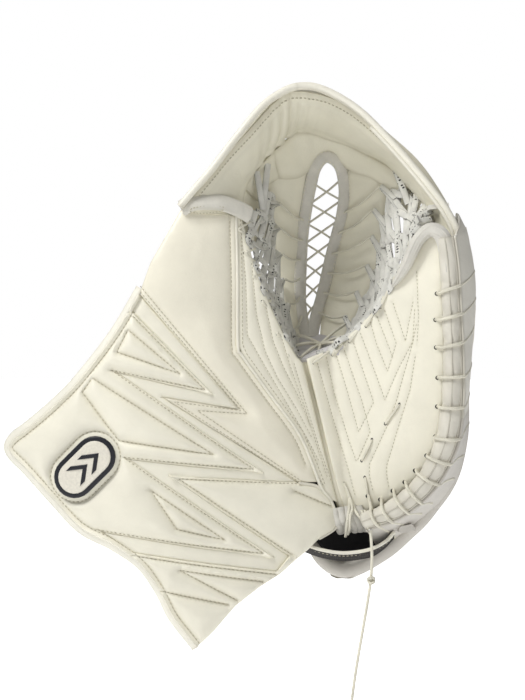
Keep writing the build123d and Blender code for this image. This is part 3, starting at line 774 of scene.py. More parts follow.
def over_roll(at, q, lift=0.0):
    """Point on the roll and the band beside it: at is a place along it, and q runs 0 to 1 over the roll from
    the palm, to 2 across the band, and beyond 2 behind the band's edge."""
    def pick(table):
        return np.array([np.interp(at, np.arange(len(table)), column) for column in np.atleast_2d(table.T)])

    middle, out, front, edge = pick(roll_line), pick(outward), pick(frontward), pick(side_edge)
    size = float(pick(roll_size)[0]) + lift

    def on_roll(angle):
        return middle + size * (math.cos(angle) * out + math.sin(angle) * front)

    if q <= 1:
        return on_roll(math.pi - q * (math.pi - BAND_ANGLE))
    t = min(q - 1, 1)
    lifted = edge + lift * (0.8 * out + 0.6 * front)
    swell = float(pick(band_swell)[0]) * math.sin(math.pi * t) * (0.6 * out + 0.8 * front)
    return on_roll(BAND_ANGLE) * (1 - t) + lifted * t + swell - max(q - 2, 0) * np.array((0, 0, 9.0))


# Where each turn of the lace enters the palm, and where it ends on the band, with how far it goes round
LACE_HOLES = [(96, 215), (92.5, 192.5), (90.5, 168.5), (89, 142), (86, 117), (81.5, 91), (72.5, 75),
              (61.5, 62.5), (51.5, 53), (40.5, 46), (29, 39), (18.5, 43)]
LACE_ENDS = [(131.5, 233, 2.25), (128, 209, 2.25), (125, 186, 2.25), (118, 152, 2.25), (111, 126, 2.2),
             (107, 100, 2.1), (99, 73, 1.9), (90, 55, 1.8), (76, 36, 1.6), (66, 24, 1.6), (52, 12, 1.7),
             (40, 2, 1.8)]


def nearest(table, spot):
    return int(np.argmin(np.hypot(table[:, 0] - spot[0], table[:, 1] - spot[1])))


roll_mesh = Mesh()
sides = 30
turn = np.linspace(0, 2 * math.pi, sides, endpoint=False)
along_roll = length_along(roll_line)[:, None]
pressed = np.array([0.5 * (nearest(roll_line, hole) + nearest(side_edge, end)) for hole, end in
                    zip(LACE_HOLES, LACE_ENDS)])
pinch = np.exp(-((np.min(np.abs(np.arange(len(roll_line))[:, None] - pressed), axis=1) / 2.6) ** 2))
ripple = 0.22 * np.sin(3 * turn + along_roll / 7) + 0.18 * np.sin(5 * turn - along_roll / 4.3)
tube(roll_mesh, roll_line, roll_size[:, None] - 0.8 * pinch[:, None] + ripple, sides)
for q, size in ((0.52, 0.7), (0.9, 1.0)):  # welts that run along the roll
    tube(roll_mesh, np.array([over_roll(i, q, -0.25) for i in range(len(roll_line))]), size, 8)
piece(roll_mesh, "edge_roll_leather", [ROLL], "finger", ["palm_edge_roll"])

# Leather band between the roll and the hand's outer edge, with its piped seams
side_band = Mesh()
shares = np.concatenate((np.linspace(0.94, 2.0, 15), (2.12, 2.5, 2.9)))
skin = np.array([[over_roll(i, q) for q in shares] for i in range(0, len(roll_line), 2)])
rise = np.clip(shares - 1.0, 0, 1)[:, None] * np.array((-5.0, 15.0, -3.0))
skin = np.concatenate(([skin[0] + rise, skin[0] + 0.5 * rise], skin))
half = len(skin) * 55 // 100  # from here down the band is in the guard's shade
for part, slot in ((skin[:half + 1], 0), (skin[half:], 2)):
    wall(side_band, part[:, ::-1], 2.2, slot)
PIPED = range(120)  # places along the roll that the band's piped seams pass
for q in (1.2, 1.42, 2.0):
    tube(side_band, np.array([over_roll(i, q, 0.4) for i in PIPED]), 1.3, 8, slot=1)
piece(side_band, "side_band_leather", [SIDE, PIPING, GUARD_PAINTED_SHADE], "finger", ["web_side_band"])

wraps = Mesh()
for hole, (u, v, last) in zip(LACE_HOLES, LACE_ENDS):
    first, final = nearest(roll_line, hole), nearest(side_edge, (u, v))
    t = np.linspace(0, 1, 16)
    path = [over_roll(first + (final - first) * k, 0.1 + (last - 0.1) * k, 1.5) for k in t]
    spot = palm.on([hole])[0]
    ends = [spot + (0, 0, -0.6), spot + (0.8, 0.3, 0.9)]
    dive = [path[-1] + np.array((0.4, -0.6, -4.0))] if last < 2 else []
    tube(wraps, smooth(ends + path + dive, 1.5), 1.45, 10)
    punch(holes, palm.on([hole], 0.15)[0], 1.9)
piece(wraps, "perimeter_lace_wraps", [WAXED], "finger", ["perimeter_lace"])

# Bound channel round the palm's top
CHANNEL = [(60, 226, 25), (67, 234, 30), (73.5, 243, 35), (79, 253, 40), (86, 264, 44), (96, 270.5, 48),
           (104.5, 265, 51), (108, 251, 53), (108, 232, 53.5)]
channel = Mesh()
channel_line = smooth(CHANNEL, 2)
channel_size = varied(channel_line, (0, 1.2), (0.06, 3.0), (0.2, 4.6), (0.5, 5.8), (0.8, 7.6), (1, 8.0))
tube(channel, channel_line, channel_size, 20, flat=0.85, facing=(0, 0, 1))
for side in (-0.42, 0.42):
    cord_line = beside(channel_line, side * channel_size[:, None])
    cord_line[:, 2] += channel_size * 0.76
    tube(channel, cord_line, 0.8, 8)
piece(channel, "palm_top_binding", [SUEDE], "finger_half", ["palm_tip_binding"])

# ---------------------------------------------------------------- thumb side of the palm

THUMB_RIM = [(-66, 304), (-62, 282), (-59, 258), (-53, 236), (-47, 216), (-39.5, 194), (-31, 175)]
THUMB_CREASE = [(-26, 168), (-19.4, 118), (-14.4, 80), (-10, 48), (-8.5, 40)]
THUMB_RIDGE = [(-14, 43), (-22, 56), (-28, 79), (-37, 107), (-58, 144), (-78, 180), (-81, 190), (-75, 247),
               (-70, 303)]
thumb_palm_outline = np.vstack((smooth(THUMB_RIM, 4), THUMB_CREASE, THUMB_RIDGE))
STRIPES = [
    [(-67, 292), (-68, 246), (-72, 198), (-61, 172), (-45, 136), (-31, 104), (-20, 76)],
    [(-61, 262), (-62, 215), (-58, 182), (-50, 158), (-36, 128), (-25, 100)],
    [(-53, 222), (-50, 190), (-44, 168), (-33, 138), (-25, 110)],
    [(-43, 196), (-37, 165), (-28, 125), (-21, 90), (-15, 62)],
    [(-34, 170), (-27, 130), (-20, 92), (-12, 58)],
    [(-44, 110), (-32, 86), (-19, 55)],
]
thumb_palm = Quilt(thumb_palm_outline, STRIPES, puff=0.8, reach=3.4, sink=0.45, edge=1.8, crown=1.2,
                   extra=lambda p: dent(p, (1, 0.2, 21, 0.6), (0.3, 1, 34, 0.6)))
piece(panel(Mesh(), thumb_palm, 12.0), "thumb_palm_pad", [IVORY, PALE_LINING], "thumb",
      ["thumb_palm_cover", "thumb_palm_foam"])
thumb_threads = stitch(Mesh(), thumb_palm, STRIPES, **FINE)

# Folded leather in the break between the two halves
fold = Mesh()
for left, high in ((-23, -1.0), (-26, -0.3)):
    tube(fold, smooth([(left, 168, high - 1.5), (-17.5, 118, high), (-12.5, 80, high), (-8, 48, high - 0.2),
                       (-4, 24, high - 3)], 2), 3.6, 14)
piece(fold, "break_leather", [IVORY], "web", ["palm_crease"])

# ---------------------------------------------------------------- thumb block

ZIGZAG = [(-160, 243), (-87, 134.5), (-151, 152.5), (-41.5, 63), (-152.5, 84.5), (-57, 0.5), (-70, -11.5),
          (-192, 21.5), (-219, 43.5), (-70.5, 1.5), (-188, 103.5), (-71.5, 76.5), (-190, 179.5),
          (-107.5, 150), (-169, 229.5)]
BLOCK_TOP = [(-158, 250), (-148, 270), (-132, 292), (-117, 313), (-105, 315), (-94, 313)]
BLOCK = THUMB_RIDGE[:1:-1] + [(-25, 61)] + ZIGZAG[3::-1] + BLOCK_TOP
block_rows = [beside(smooth(THUMB_RIDGE[2:], 4), 5.5)] + [inset(ZIGZAG, -gap)[:4] for gap in (2.2, 6.6)]
block = Quilt(BLOCK, block_rows, puff=2.6, reach=8, sink=0.7, edge=2.0, crown=5.5,
              extra=lambda p: dent(p, (1, 0.15, 15, 1.1), (0.4, 1, 40, 0.9)))
piece(panel(Mesh(), block, 15.4, step=3.0), "thumb_block_pad", [IVORY_SMOOTH, PALE_LINING], "thumb",
      ["thumb_block_cover", "thumb_block_foam", "thumb_board"])
stitch(thumb_threads, block, block_rows)

# ---------------------------------------------------------------- cuff

CUFF_EDGE = [(-146.5, -67), (-164, -38), (-173, -14), (-187, 11), (-210, 31), (-236, 48), (-257, 74),
             (-279, 103), (-291, 117), (-293.5, 124), (-287, 131), (-273, 139), (-247, 156), (-221, 177),
             (-186, 213), (-159, 248.6)]
CUFF_FLAP = [(-25, 57), (-15.5, 45), (-12, 33), (-11, 21), (-16, 16), (-29, 11)]
CUFF_FOOT = [(-40, 3), (-52, -4), (-67, -14), (-87, -23), (-109, -36), (-130, -55)]
cuff_outline = np.vstack((ZIGZAG[:4], CUFF_FLAP, CUFF_FOOT, smooth(CUFF_EDGE, 5)[:-1]))
PADS = [
    [(-174, 214), (-133.5, 171), (-186, 196)],
    [(-210, 176), (-113, 98), (-193, 119.5), (-220, 164.5)],
    [(-170, 73.5), (-111.5, 23), (-151.5, 37.5)],
]
LOW_ROWS = [
    [(-83, -18), (-153, 2), (-107, -31)],
    [(-171.5, -14), (-115, -33.5)],
]
beside_zigzag = inset(ZIGZAG, -2.2)
zigzag_rows = [beside_zigzag[3:6], beside_zigzag[6:8], beside_zigzag[8:]]
edge_row = beside(smooth(CUFF_EDGE, 4), -4.5)
flap_row = [(-47, 57), (-34, 49), (-24, 43), (-15, 38)]

BADGE_AT, BADGE_TURN = np.array((-225.0, 100.0)), math.radians(38)


def on_badge(points):
    """Points of the badge's own frame, which lies along the cuff's lower edge."""
    c, s = math.cos(BADGE_TURN), math.sin(BADGE_TURN)
    return np.asarray(points, float) @ np.array(((c, s), (-s, c))) + BADGE_AT


def badge_outline(length, high):
    """Outline with round ends."""
    r = high / 2
    a = np.linspace(-math.pi / 2, math.pi / 2, 13)
    end = np.column_stack((length / 2 - r + r * np.cos(a), r * np.sin(a)))
    return on_badge(np.vstack((end, -end)))


badge_place = badge_outline(70, 44)
badge_row = ring(badge_place)
cuff_rows = [ring(pad) for pad in PADS] + LOW_ROWS + zigzag_rows + [edge_row, flap_row, badge_row]
cuff = Quilt(cuff_outline, cuff_rows, puff=6.6, reach=7.5, sink=0.6, edge=2.0, crown=2.0, groove=1.7,
             extra=lambda p: dent(p, (0.3, 1, 16, 0.8), (1, -0.4, 27, 0.9), (1, 0.8, 9, 0.25)),
             steps=[(ZIGZAG, 1.9, 0.3), (badge_place, 0.0, 0.45)])
piece(panel(Mesh(), cuff, 16.6, step=2.8), "cuff_pad", [IVORY, PALE_LINING], "thumb",
      ["cuff_cover", "cuff_foam", "cuff_board", "cuff_liner"])
cuff_threads = stitch(Mesh(), cuff, cuff_rows, length=2.1, gap=1.7, radius=0.55)


class Overlay(Quilt):
    """Leather laid over another quilt, which it follows."""

    def __init__(self, outline, under, thick):
        super().__init__(outline, (), puff=0.3, reach=2.0, sink=0.5, edge=0.4)
        self.under, self.thick = under, thick

    def height(self, p):
        return self.under.height(p) + super().height(p) + self.thick


# Smooth zigzag band, sunk between the padded leathers on its two sides
zigzag = Overlay(inset(ZIGZAG, 0.6), cuff, 0.5)
piece(panel(Mesh(), zigzag, 1.4, step=2.4, shell=True, back_slot=0), "cuff_zigzag", [IVORY], "thumb",
      ["cuff_bolt"])
piece(cuff_threads, "cuff_stitching", [THREAD_WITH_PAINTED_SHADE], "thumb")

# Bound edge of the cuff
edging = Mesh()
edge_line = smooth(beside(CUFF_EDGE, 1.6), 2.0)
tube(edging, on_leather(edge_line, -4.5), 5.2, 16, flat=0.45, facing=(-0.8, 0.1, 0.5))
piece(edging, "cuff_edge_binding", [PIPING], "thumb_half", ["cuff_binding"])

# Piped seams of the thumb side
seams = Mesh()
for line, lift, size, sides in ((THUMB_RIDGE, 0.9, 1.5, 12), ([(-41.5, 63)] + CUFF_FLAP, 0.6, 1.3, 10)):
    tube(seams, on_leather(smooth(line, 2.0), lift), size, sides)
piece(seams, "thumb_seam_piping", [PIPING], "thumb")
sew(thumb_threads, thumb_palm.on(beside(even(THUMB_RIDGE[1:], 1.0), -4.0)), radius=0.4)
piece(thumb_threads, "thumb_stitching", [THREAD_WITH_PAINTED_SHADE], "thumb")

# ---------------------------------------------------------------- badge: a plain oval with two chevrons

class Plate(Quilt):
    """Stiff moulded plate that stands over the cuff's mean face."""

    def __init__(self, outline, high, edge):
        super().__init__(outline, (), puff=0, sink=0, edge=edge)
        self.high = high

    def height(self, p):
        return super().height(p) + self.high


piece(panel(Mesh(), Plate(badge_outline(62, 36), 6.2, 1.2), 6.0, step=2.4, shell=True, back_slot=0),
      "badge_base", [BADGE_DARK], "thumb_half", ["badge_backing"])
face = Mesh()
panel(face, Plate(badge_outline(54, 28), 7.1, 1.0), 1.6, step=2.4, shell=True, back_slot=0)
for x in (-7.0, 7.0):
    arrow = on_badge([(x - 7, 9), (x + 5, 0), (x - 7, -9), (x - 1, -9), (x + 11, 0), (x - 1, 9)])
    panel(face, Plate(arrow[::-1], 7.8, 0.5), 1.6, step=2.0, shell=True, slot=1, back_slot=1)
piece(face, "badge_plate", [BADGE_LIGHT, BADGE_DARK], "thumb_half", ["badge_face"])

# ---------------------------------------------------------------- web: the T's crown

LEFT_ARM = [((-110, 310, 44), (-63, 300, 22)), ((-112, 316, 46), (-62, 312, 16)),
            ((-104, 326, 44), (-58, 330, 6)), ((-82, 346, 40), (-50, 342, -6)),
            ((-42, 385, 28), (-35, 357, -17)), ((-20, 402, 23.5), (-26, 366, -22)),
            ((-11, 406, 22), (-19.5, 371, -25))]
RIGHT_ARM = [((-13.5, 405, 21), (-22, 368.5, -27)), ((-8, 407, 20.5), (-13, 374.5, -31)),
             ((1, 407.5, 20), (1, 377, -33)), ((26, 398, 19), (24, 370, -38)),
             ((58, 371, 22), (50, 356, -38)), ((88, 333, 28), (76, 335, -34)),
             ((112, 292, 34), (98, 302, -20)), ((118, 268, 38), (104, 284, -4)),
             ((118, 240, 40), (104, 258, 20)), ((117, 222, 41), (101, 240, 30))]


def lofted(one, two, step, fine, across):
    """Grid between two lines, and the share across it of each column."""
    rims, seams_in = smooth(one, step), smooth(two, fine)
    seams_in = seams_in[np.linspace(0, len(seams_in) - 1, len(rims)).round().astype(int)]
    t = np.linspace(0, 1, across)
    return rims[:, None] * (1 - t[:, None]) + seams_in[:, None] * t[:, None], t[None, :]


def arm(stations, lap, puff=5.0):
    """Grid over one arm of the crown, from its rim to its seam, with a soft hollow and folds at the apex.
    lap is how deep it sinks under the other arm."""
    g, t = lofted(*zip(*stations), 3.0, 1.0, 22)
    normal = unit(np.cross(np.gradient(g, axis=0), np.gradient(g, axis=1)))
    viewward = np.where(normal[..., 2:3] < 0, -normal, normal)
    s = length_along(g[:, 0])[:, None]
    h = puff * np.sin(math.pi * np.clip(t * 1.12, 0, 1)) ** 0.6
    h = h + 0.9 * np.sin(s / 13 + 3 * t) + 0.5 * np.sin(s / 7.3 - 5 * t) * t
    apex = np.abs(g[..., 0] + 12 + 9 * t)  # from the slanted line where one arm laps over the other
    pleat = np.exp(-((apex / 26) ** 2)) * (1.5 * np.cos(apex * 0.62) * (0.3 + 0.7 * t))
    groove = -1.4 * np.exp(-(((t - 0.13) / 0.028) ** 2)) - lap * np.exp(-((apex / 4.0) ** 2))
    return g + viewward * (h + pleat + groove)[..., None]


crown_threads = {"thumb": Mesh(), "finger": Mesh()}
for name, stations, side, lap, more in (("crown_left", LEFT_ARM, "thumb", 0.4, []),
                                        ("crown_right", RIGHT_ARM, "finger", 3.0, ["crown_crease"])):
    skin = arm(stations, lap)
    piece(wall(Mesh(), turned(skin, 1), 8.0), name + "_leather", [CROWN], side,
          [f"{name}_{layer}" for layer in ("face", "foam", "back")] + more)
    sew(crown_threads[side], skin[:, 2], radius=0.55, lift=0.3)

RIM = [(-117, 315, 50), (-103, 328.5, 49), (-86, 344.5, 48), (-62, 370, 43), (-36, 396, 35),
       (-14.5, 408.5, 29), (0, 411, 27), (15, 408, 26), (34, 396.5, 26), (51.5, 380.5, 27), (70, 356.5, 30),
       (88, 330, 34), (104, 304, 38), (114, 285, 40), (120, 266, 42), (120.5, 248, 44), (118.5, 224, 45),
       (116.5, 203, 45), (114.5, 182, 44), (111, 163, 43)]
rim_line = smooth(RIM, 2.0)
inner_line = rim_line + (0, 0, 0.6)
inner_line[:, :2] = beside(rim_line[:, :2], -PIPE_GAP)
second_row = (rim_line[:, 0] > 60) & (np.arange(len(rim_line)) > len(rim_line) // 2)  # the right side only
for side, keep in (("thumb", rim_line[:, 0] < -2.5), ("finger", rim_line[:, 0] > -5.5)):
    rim_piece = Mesh()
    tube(rim_piece, rim_line[keep], 3.1, 16)
    if side == "finger":
        tube(rim_piece, inner_line[second_row], 1.9, 12)
    tube(rim_piece, rim_line[keep] + (0, 0, -6.0), 3.0, 12)
    piece(rim_piece, f"crown_piping_{side}", [PIPING], side, ["crown_binding"] if side == "finger" else ())

# ---------------------------------------------------------------- web: stem, strips and slot

def strip(stations, across=16, puff=2.4):
    """Grid over a padded leather strip between two edge lines."""
    g, t = lofted(*zip(*stations), 2.5, 0.8, across)
    g[..., 2] += puff * np.sin(math.pi * t) ** 0.5
    g[..., 2] += 0.7 * np.sin(np.arange(len(g))[:, None] / 3.7 + 2.5 * t) * np.sin(math.pi * t)
    return g


STRIP_LEFT = [((-28, 176, -42), (-16, 176, -46)), ((-31, 190, -57), (-21, 190, -62)),
              ((-36, 222, -71), (-21, 222, -79)), ((-38, 255, -76), (-17, 255, -86)),
              ((-38, 290, -67), (-11, 290, -79)), ((-38, 318, -57), (-4, 318, -68)),
              ((-38, 346, -46), (5, 349, -56))]
STRIP_RIGHT = [((-7, 176, -46), (18, 176, -42)), ((-5, 190, -62), (20, 190, -57)),
               ((2.5, 222, -80), (42, 222, -72)), ((13, 254, -87), (60, 254, -70)),
               ((24.5, 285, -79), (66, 285, -61)), ((34.5, 314, -67), (70, 310, -51)),
               ((36, 342, -56), (73, 328, -45))]
TOP_LEFT = [((-47, 320, -32), (-60, 330, 5)), ((-42, 332, -42), (-49, 343, -9)),
            ((-28, 340, -47), (-33, 359, -19)), ((-25, 340, -48), (-28, 364, -23))]
TOP_RIGHT = [((-27, 340, -47.5), (-30, 362, -22)), ((-12, 339, -52), (-13, 375, -31)),
             ((-4, 341, -53), (-4, 379, -32)), ((2, 345, -53), (2, 378.5, -33)),
             ((10, 356, -49), (11, 377, -36)), ((19, 361, -47), (21, 373, -39)),
             ((27, 358, -49), (29, 369, -40)), ((33, 347, -52), (40, 364, -40)),
             ((44, 338, -50), (50, 357, -39)), ((60, 330, -46), (68, 344, -36)),
             ((76, 312, -40), (84, 330, -31)), ((90, 291, -30), (100, 305, -18))]
for name, stations, side, nodes in (
        ("strip_left_leather", STRIP_LEFT, "thumb", ["strip_left"]),
        ("strip_right_leather", STRIP_RIGHT, "finger", ["strip_right"]),
        ("stem_top_left", TOP_LEFT, "thumb", ["stem_top"]),
        ("stem_top_right", TOP_RIGHT, "finger", ())):
    piece(wall(Mesh(), turned(strip(stations)), 4.5), name, [CROWN], side, nodes)

SLOT_EDGE = [(-17, 190, -62), (-19, 206, -72), (-19, 228, -81), (-13.6, 266, -85), (-9.4, 290, -79),
             (-4.4, 310, -70), (1.6, 330, -62), (8.6, 348, -54), (19.6, 356, -50), (31.2, 347, -54),
             (34, 326, -63), (30, 304, -72), (22.6, 284, -79), (14.2, 262, -85), (3, 230, -82),
             (-6.5, 208, -73), (-12.5, 190, -63)]
slot_band = Mesh()
slot_line = smooth(SLOT_EDGE, 1.8)
tube(slot_band, slot_line + (0, 0, 1.5), 5.9, 20, flat=0.42, facing=(0.1, -0.1, 1))
for gap in (-4.4, 4.6):
    edge = slot_line + (0, 0, 3.1)
    edge[:, :2] = beside(slot_line[:, :2], gap)
    sew(slot_band, edge[6:-6], slot=1)
piece(slot_band, "slot_edge_binding", [SUEDE, PALE_THREAD], "finger", ["slot_binding"])

# Crossed waxed lace in the slot. Each rung is the left u, right u, v and w of a pair of holes
RUNGS = [(5.5, 30.5, 334, -62), (0.5, 30.0, 316, -69), (-4.0, 25.5, 298, -77), (-8.0, 19.5, 280, -82),
         (-11.5, 13.2, 262, -85), (-14.2, 7.0, 244, -84), (-16.4, 1.0, 226, -81), (-16.6, -6.0, 208, -74),
         (-16.0, -9.5, 195, -66)]
cross = Mesh()
for (la, ra, va, wa), (lb, rb, vb, wb) in zip(RUNGS, RUNGS[1:]):
    middle = np.array(((la + ra + lb + rb) / 4, (va + vb) / 2, (wa + wb) / 2))
    for start, end, lift in (((la, va, wa), (rb, vb, wb), 1.2), ((ra, va, wa), (lb, vb, wb), -1.2)):
        tube(cross, smooth([start, middle + (0, 0, lift), end], 1.4), 1.05, 8)
piece(cross, "slot_cross_lace", [WAXED], "finger", ["slot_lacing"])

# ---------------------------------------------------------------- pocket net

NET_SAG = 9.0  # how far the net's middle hangs below a straight line


def net_patch(front, back):
    """Surface from the palm's rim to the strip's edge; s runs back from the rim and t up the pocket."""
    lines = smooth(front, 2.0), smooth(back, 2.0)

    def at(s, t):
        a, b = [np.array([np.interp(t, np.linspace(0, 1, len(line)), column) for column in line.T])
                for line in lines]
        return a * (1 - s) + b * s + np.array((0, -NET_SAG * math.sin(math.pi * min(max(s, 0), 1)), 0))
    return at


def net(at, columns, rows, side_way, palm_holes, strip_holes, lean):
    """Laces woven over a patch: columns up the pocket, strands to the palm's holes and loops at the strip."""
    meshes = flecked, plain = Mesh(), Mesh()

    def run(which, points, width, look):
        tube(meshes[which], smooth(points, 1.6), width / 2, 12, flat=0.26, facing=look, square=0.75)

    def share(i, holes, low, high):
        return low + (high - low) * i / max(len(holes) - 1, 1)

    for c, s in enumerate(columns):
        points = []
        for k in range(rows * 2 + 1):
            sway = 0.1 if (k + c) % 2 else -0.1
            q = at(min(max(s + sway, 0.02), 0.98), k / (rows * 2))
            q[2] += 2.4 if (k // 2 + c) % 2 else -2.4
            q[0] += rng.uniform(-0.8, 0.8)
            points.append(q)
        run(c % 3 == 1, points, 6.6, (side_way * 0.7 + rng.uniform(-0.3, 0.3), 0.3, 1.0))
    for k in range(rows):
        for way in (0, 1):
            t0, t1 = ((k + 0.15) / rows, (k + 0.95) / rows)[::1 if way else -1]
            points = [at(0.10, t0), at(0.32, (2 * t0 + t1) / 3), at(0.6, (t0 + 2 * t1) / 3), at(0.86, t1)]
            for j, q in enumerate(points):
                q[2] += 2.6 if (j + k + way) % 2 else -2.6
                q[1] += rng.uniform(-1, 1)
            run((k + way) % 2 == 0, points, 5.6, (side_way * 0.6, 0.5 - way, 1.0))
    for i, start in enumerate(palm_holes):
        for d in (-0.055, 0.055):
            q = at(0.16, min(max(share(i, palm_holes, *lean[:2]) + d, 0), 1))
            tube(plain, smooth([start + (0, 0, -0.8), start + (q - start) * 0.12 + (0, 0, 1.6),
                                (start + q) / 2 + (0, 0, 3.0), q], 1.5), 1.35, 8, slot=1)
    for i, end in enumerate(np.array(strip_holes, float)):
        near = at(0.82, share(i, strip_holes, *lean[2:]))
        for d in (-1.6, 1.6):
            loop = [near + (0, d * 2, 1), (near + end) / 2 + (0, d, 3), end + (0, d * 0.4, 1.5)]
            run((i + (d > 0)) % 2 == 0, loop, 4.6, (0, 0.2, 1))
    return flecked, plain


LEFT_FRONT = [(-29, 174, 8), (-40, 197, 19), (-49, 222, 24), (-56, 246, 28), (-60, 266, 30), (-64, 303, 30)]
LEFT_BACK = [(-26, 182, -44), (-33, 216, -64), (-36, 250, -70), (-36, 285, -62), (-34, 316, -50),
             (-33, 336, -38)]
left_holes = thumb_palm.on([(-39, 176), (-46, 196), (-56, 226), (-61, 249), (-66, 270), (-70, 291)])
LEFT_STRIP_HOLES = [(-30, 200, -56), (-31, 224, -66), (-33, 248, -70), (-33, 272, -67), (-32, 296, -60),
                    (-30, 318, -51)]
RIGHT_FRONT = [(-12, 174, 5), (20, 190, 10), (38, 203, 17), (52, 218, 24), (66, 235, 32), (78, 252, 39),
               (88, 282, 38)]
RIGHT_BACK = [(17, 184, -38), (39, 218, -62), (56, 250, -62), (63, 281, -54), (68, 305, -45), (78, 322, -36),
              (92, 318, -28)]
right_holes = palm.on([(-16.5, 167), (2, 172), (18, 182), (34, 194), (48.5, 209.5), (60.5, 226), (71, 240)])
RIGHT_STRIP_HOLES = [(20, 206, -58), (34, 228, -67), (47, 252, -70), (54, 278, -62), (58, 302, -52),
                     (66, 322, -42)]
FLAT_LACE = {"sides": 12, "flat": 0.3, "square": 0.75}

left_at = net_patch(LEFT_FRONT, LEFT_BACK)
flecked, plain = net(left_at, (0.08, 0.3, 0.52, 0.74, 0.93), 6, 1.0, left_holes, LEFT_STRIP_HOLES,
                     (0.04, 0.9, 0.1, 0.93))
for end in ((-36, 352, -19), (-47, 345, -9)):
    bowed(plain, left_at(0.6, 0.97), end, (0, 0, 3.5), 3.0, facing=(0.3, 0, 1), **FLAT_LACE)
piece(flecked, "net_left_flecked", [SKATE], "thumb", ["pocket_net_left"])
piece(plain, "net_left_plain", [SKATE_PLAIN, WAXED], "thumb", ())

right_at = net_patch(RIGHT_FRONT, RIGHT_BACK)
flecked, plain = net(right_at, (0.05, 0.24, 0.43, 0.62, 0.8, 0.94), 7, -0.9, right_holes, RIGHT_STRIP_HOLES,
                     (0.02, 0.84, 0.12, 0.88))
for start, end in (((0.7, 0.96), (80, 334, -26)), ((0.45, 0.97), (96, 312, -14)),
                   ((0.2, 0.97), (99, 296, 8)), ((0.1, 0.9), (92, 280, 34)),
                   ((0.3, 0.98), (104, 290, 16)), ((0.04, 0.98), (100, 281, 30))):
    bowed(flecked, right_at(*start), end, (0, 0, 2), 3.1, facing=(-0.3, 0.2, 1), **FLAT_LACE)
piece(flecked, "net_right_flecked", [SKATE], "finger", ["pocket_net_right"])
piece(plain, "net_right_plain", [SKATE_PLAIN, WAXED], "finger", ())

# Leather behind the nets' upper ends, where the crown turns into the pocket
for side, edge_one, edge_two in (
        ("thumb", [(-72, 297, 26), (-66, 318, 12), (-56, 336, -6)],
         [(-44, 272, -40), (-40, 310, -56), (-38, 336, -50)]),
        ("finger", [(108, 256, 22), (106, 276, 2), (99, 296, -18)],
         [(86, 262, -30), (84, 286, -42), (80, 318, -42)])):
    g = strip(list(zip(edge_one, edge_two)), across=14, puff=-2.0)
    piece(wall(Mesh(), turned(g), 3.0), f"pocket_wall_{side}", [CROWN], side, ())

# Thin waxed laces from the net's loops to the slot's bound edge
for label, side, strip_holes, way, rise in (("left", "thumb", LEFT_STRIP_HOLES, 1, 3),
                                            ("right", "finger", RIGHT_STRIP_HOLES, -1, 5)):
    lines = Mesh()
    for (u, v, w), (left, right, rung_v, rung_w) in zip(strip_holes, RUNGS[-2::-1]):
        slot_end = ((left if side == "thumb" else right) - 3 * way, rung_v + rise, rung_w + 5.5)
        bowed(lines, (u + way, v, w + 3.0), slot_end, (0, -3.0, 1.5), 1.1)
    piece(lines, f"pocket_lines_{label}", [WAXED], side, ())

# Floor of the pocket, split on the fold line, and the star of laces that ties it down
BASE = [((-33, 192, -58), (24, 192, -58)), ((-31, 184, -42), (24, 184, -42)),
        ((-29, 176, -22), (24, 182, -22)), ((-29, 172, -6), (20, 186, -2)), ((-28, 170, 1), (14, 182, 4)),
        ((-27, 160, 1), (6, 172, 3))]
base_grid = strip(BASE, across=24, puff=-5.0)
MIDDLE = 12  # column of the floor's grid that lies on the fold line
for side, half, nodes in (("thumb", base_grid[:, :MIDDLE], ()),
                          ("finger", base_grid[:, MIDDLE - 1:], ["web_base"])):
    piece(wall(Mesh(), turned(half), 2.4), f"pocket_base_{side}", [BASE_CLOTH], side, nodes)
for label, side, ends in (("left", "thumb", [(-33, 196, -50), (-31, 184, -30), (-28, 172, -6)]),
                          ("right", "finger", [(22, 200, -50), (25, 188, -24), (14, 180, 6), (-14, 166, 4)])):
    star = Mesh()
    for end in ends:
        bowed(star, (-6.0, 183, -34), end, (0, 1.5, 3), 1.5, 10)
    piece(star, f"base_laces_{label}", [WAXED], side, ())

# ---------------------------------------------------------------- guard over the back of the hand

GUARD_LEFT = -48.0  # u at which every section of the guard would begin
# Sections of the guard: height, right edge, front and back of its depth
STATIONS = np.array([(-31, 2, -8, 8), (-27, 12, -9, 12), (-19, 22, -10, 18), (-2, 45, -16, 21),
                     (18, 66, -22, 23), (40, 91, -28, 25), (63, 102, -34, 26), (98, 112, -38, 26),
                     (131, 116.5, -42, 26), (152, 119, -43, 26), (172, 125, -43, 25), (200, 130, -43, 24),
                     (240, 132, -42, 21), (268, 131, -40, 18), (279, 128, -38, 16),
                     (285, 121, -36, 14)], float)
GUARD_SEAMS = (50, 92, 140, 190, 240)  # heights of the stitched seams across it


def section(v):
    """Right edge, front and back of the guard at height v."""
    return [np.interp(v, STATIONS[:, 0], column) for column in STATIONS.T[1:]]


def guard_point(v, share, depth):
    """Point of the guard's wall, depth in from its outer face."""
    right, front, back = section(v)
    width, deep = right - GUARD_LEFT, back - front
    slope = unit((width, -4 * deep * share**3))
    u = GUARD_LEFT + width * share + depth * slope[1]
    y = back - deep * share**4 - depth * slope[0]
    return (u, v, -y - CREASE)


def shares_of(v, u):
    """Shares across the guard at height v of some places u."""
    return (u - GUARD_LEFT) / (section(v)[0] - GUARD_LEFT)


def guard_left(v):
    """Share at which the guard begins: its edge runs up beside the web."""
    edge = np.interp(v, [-31, -29, -15, -6, 26, 50, 90, 130, 160, 178, 235, 290],
                     [-12, -19, -29, -33, -44, -40, -25, -12, 4, 32, 80, 101])
    return max(shares_of(v, edge), 0.02)


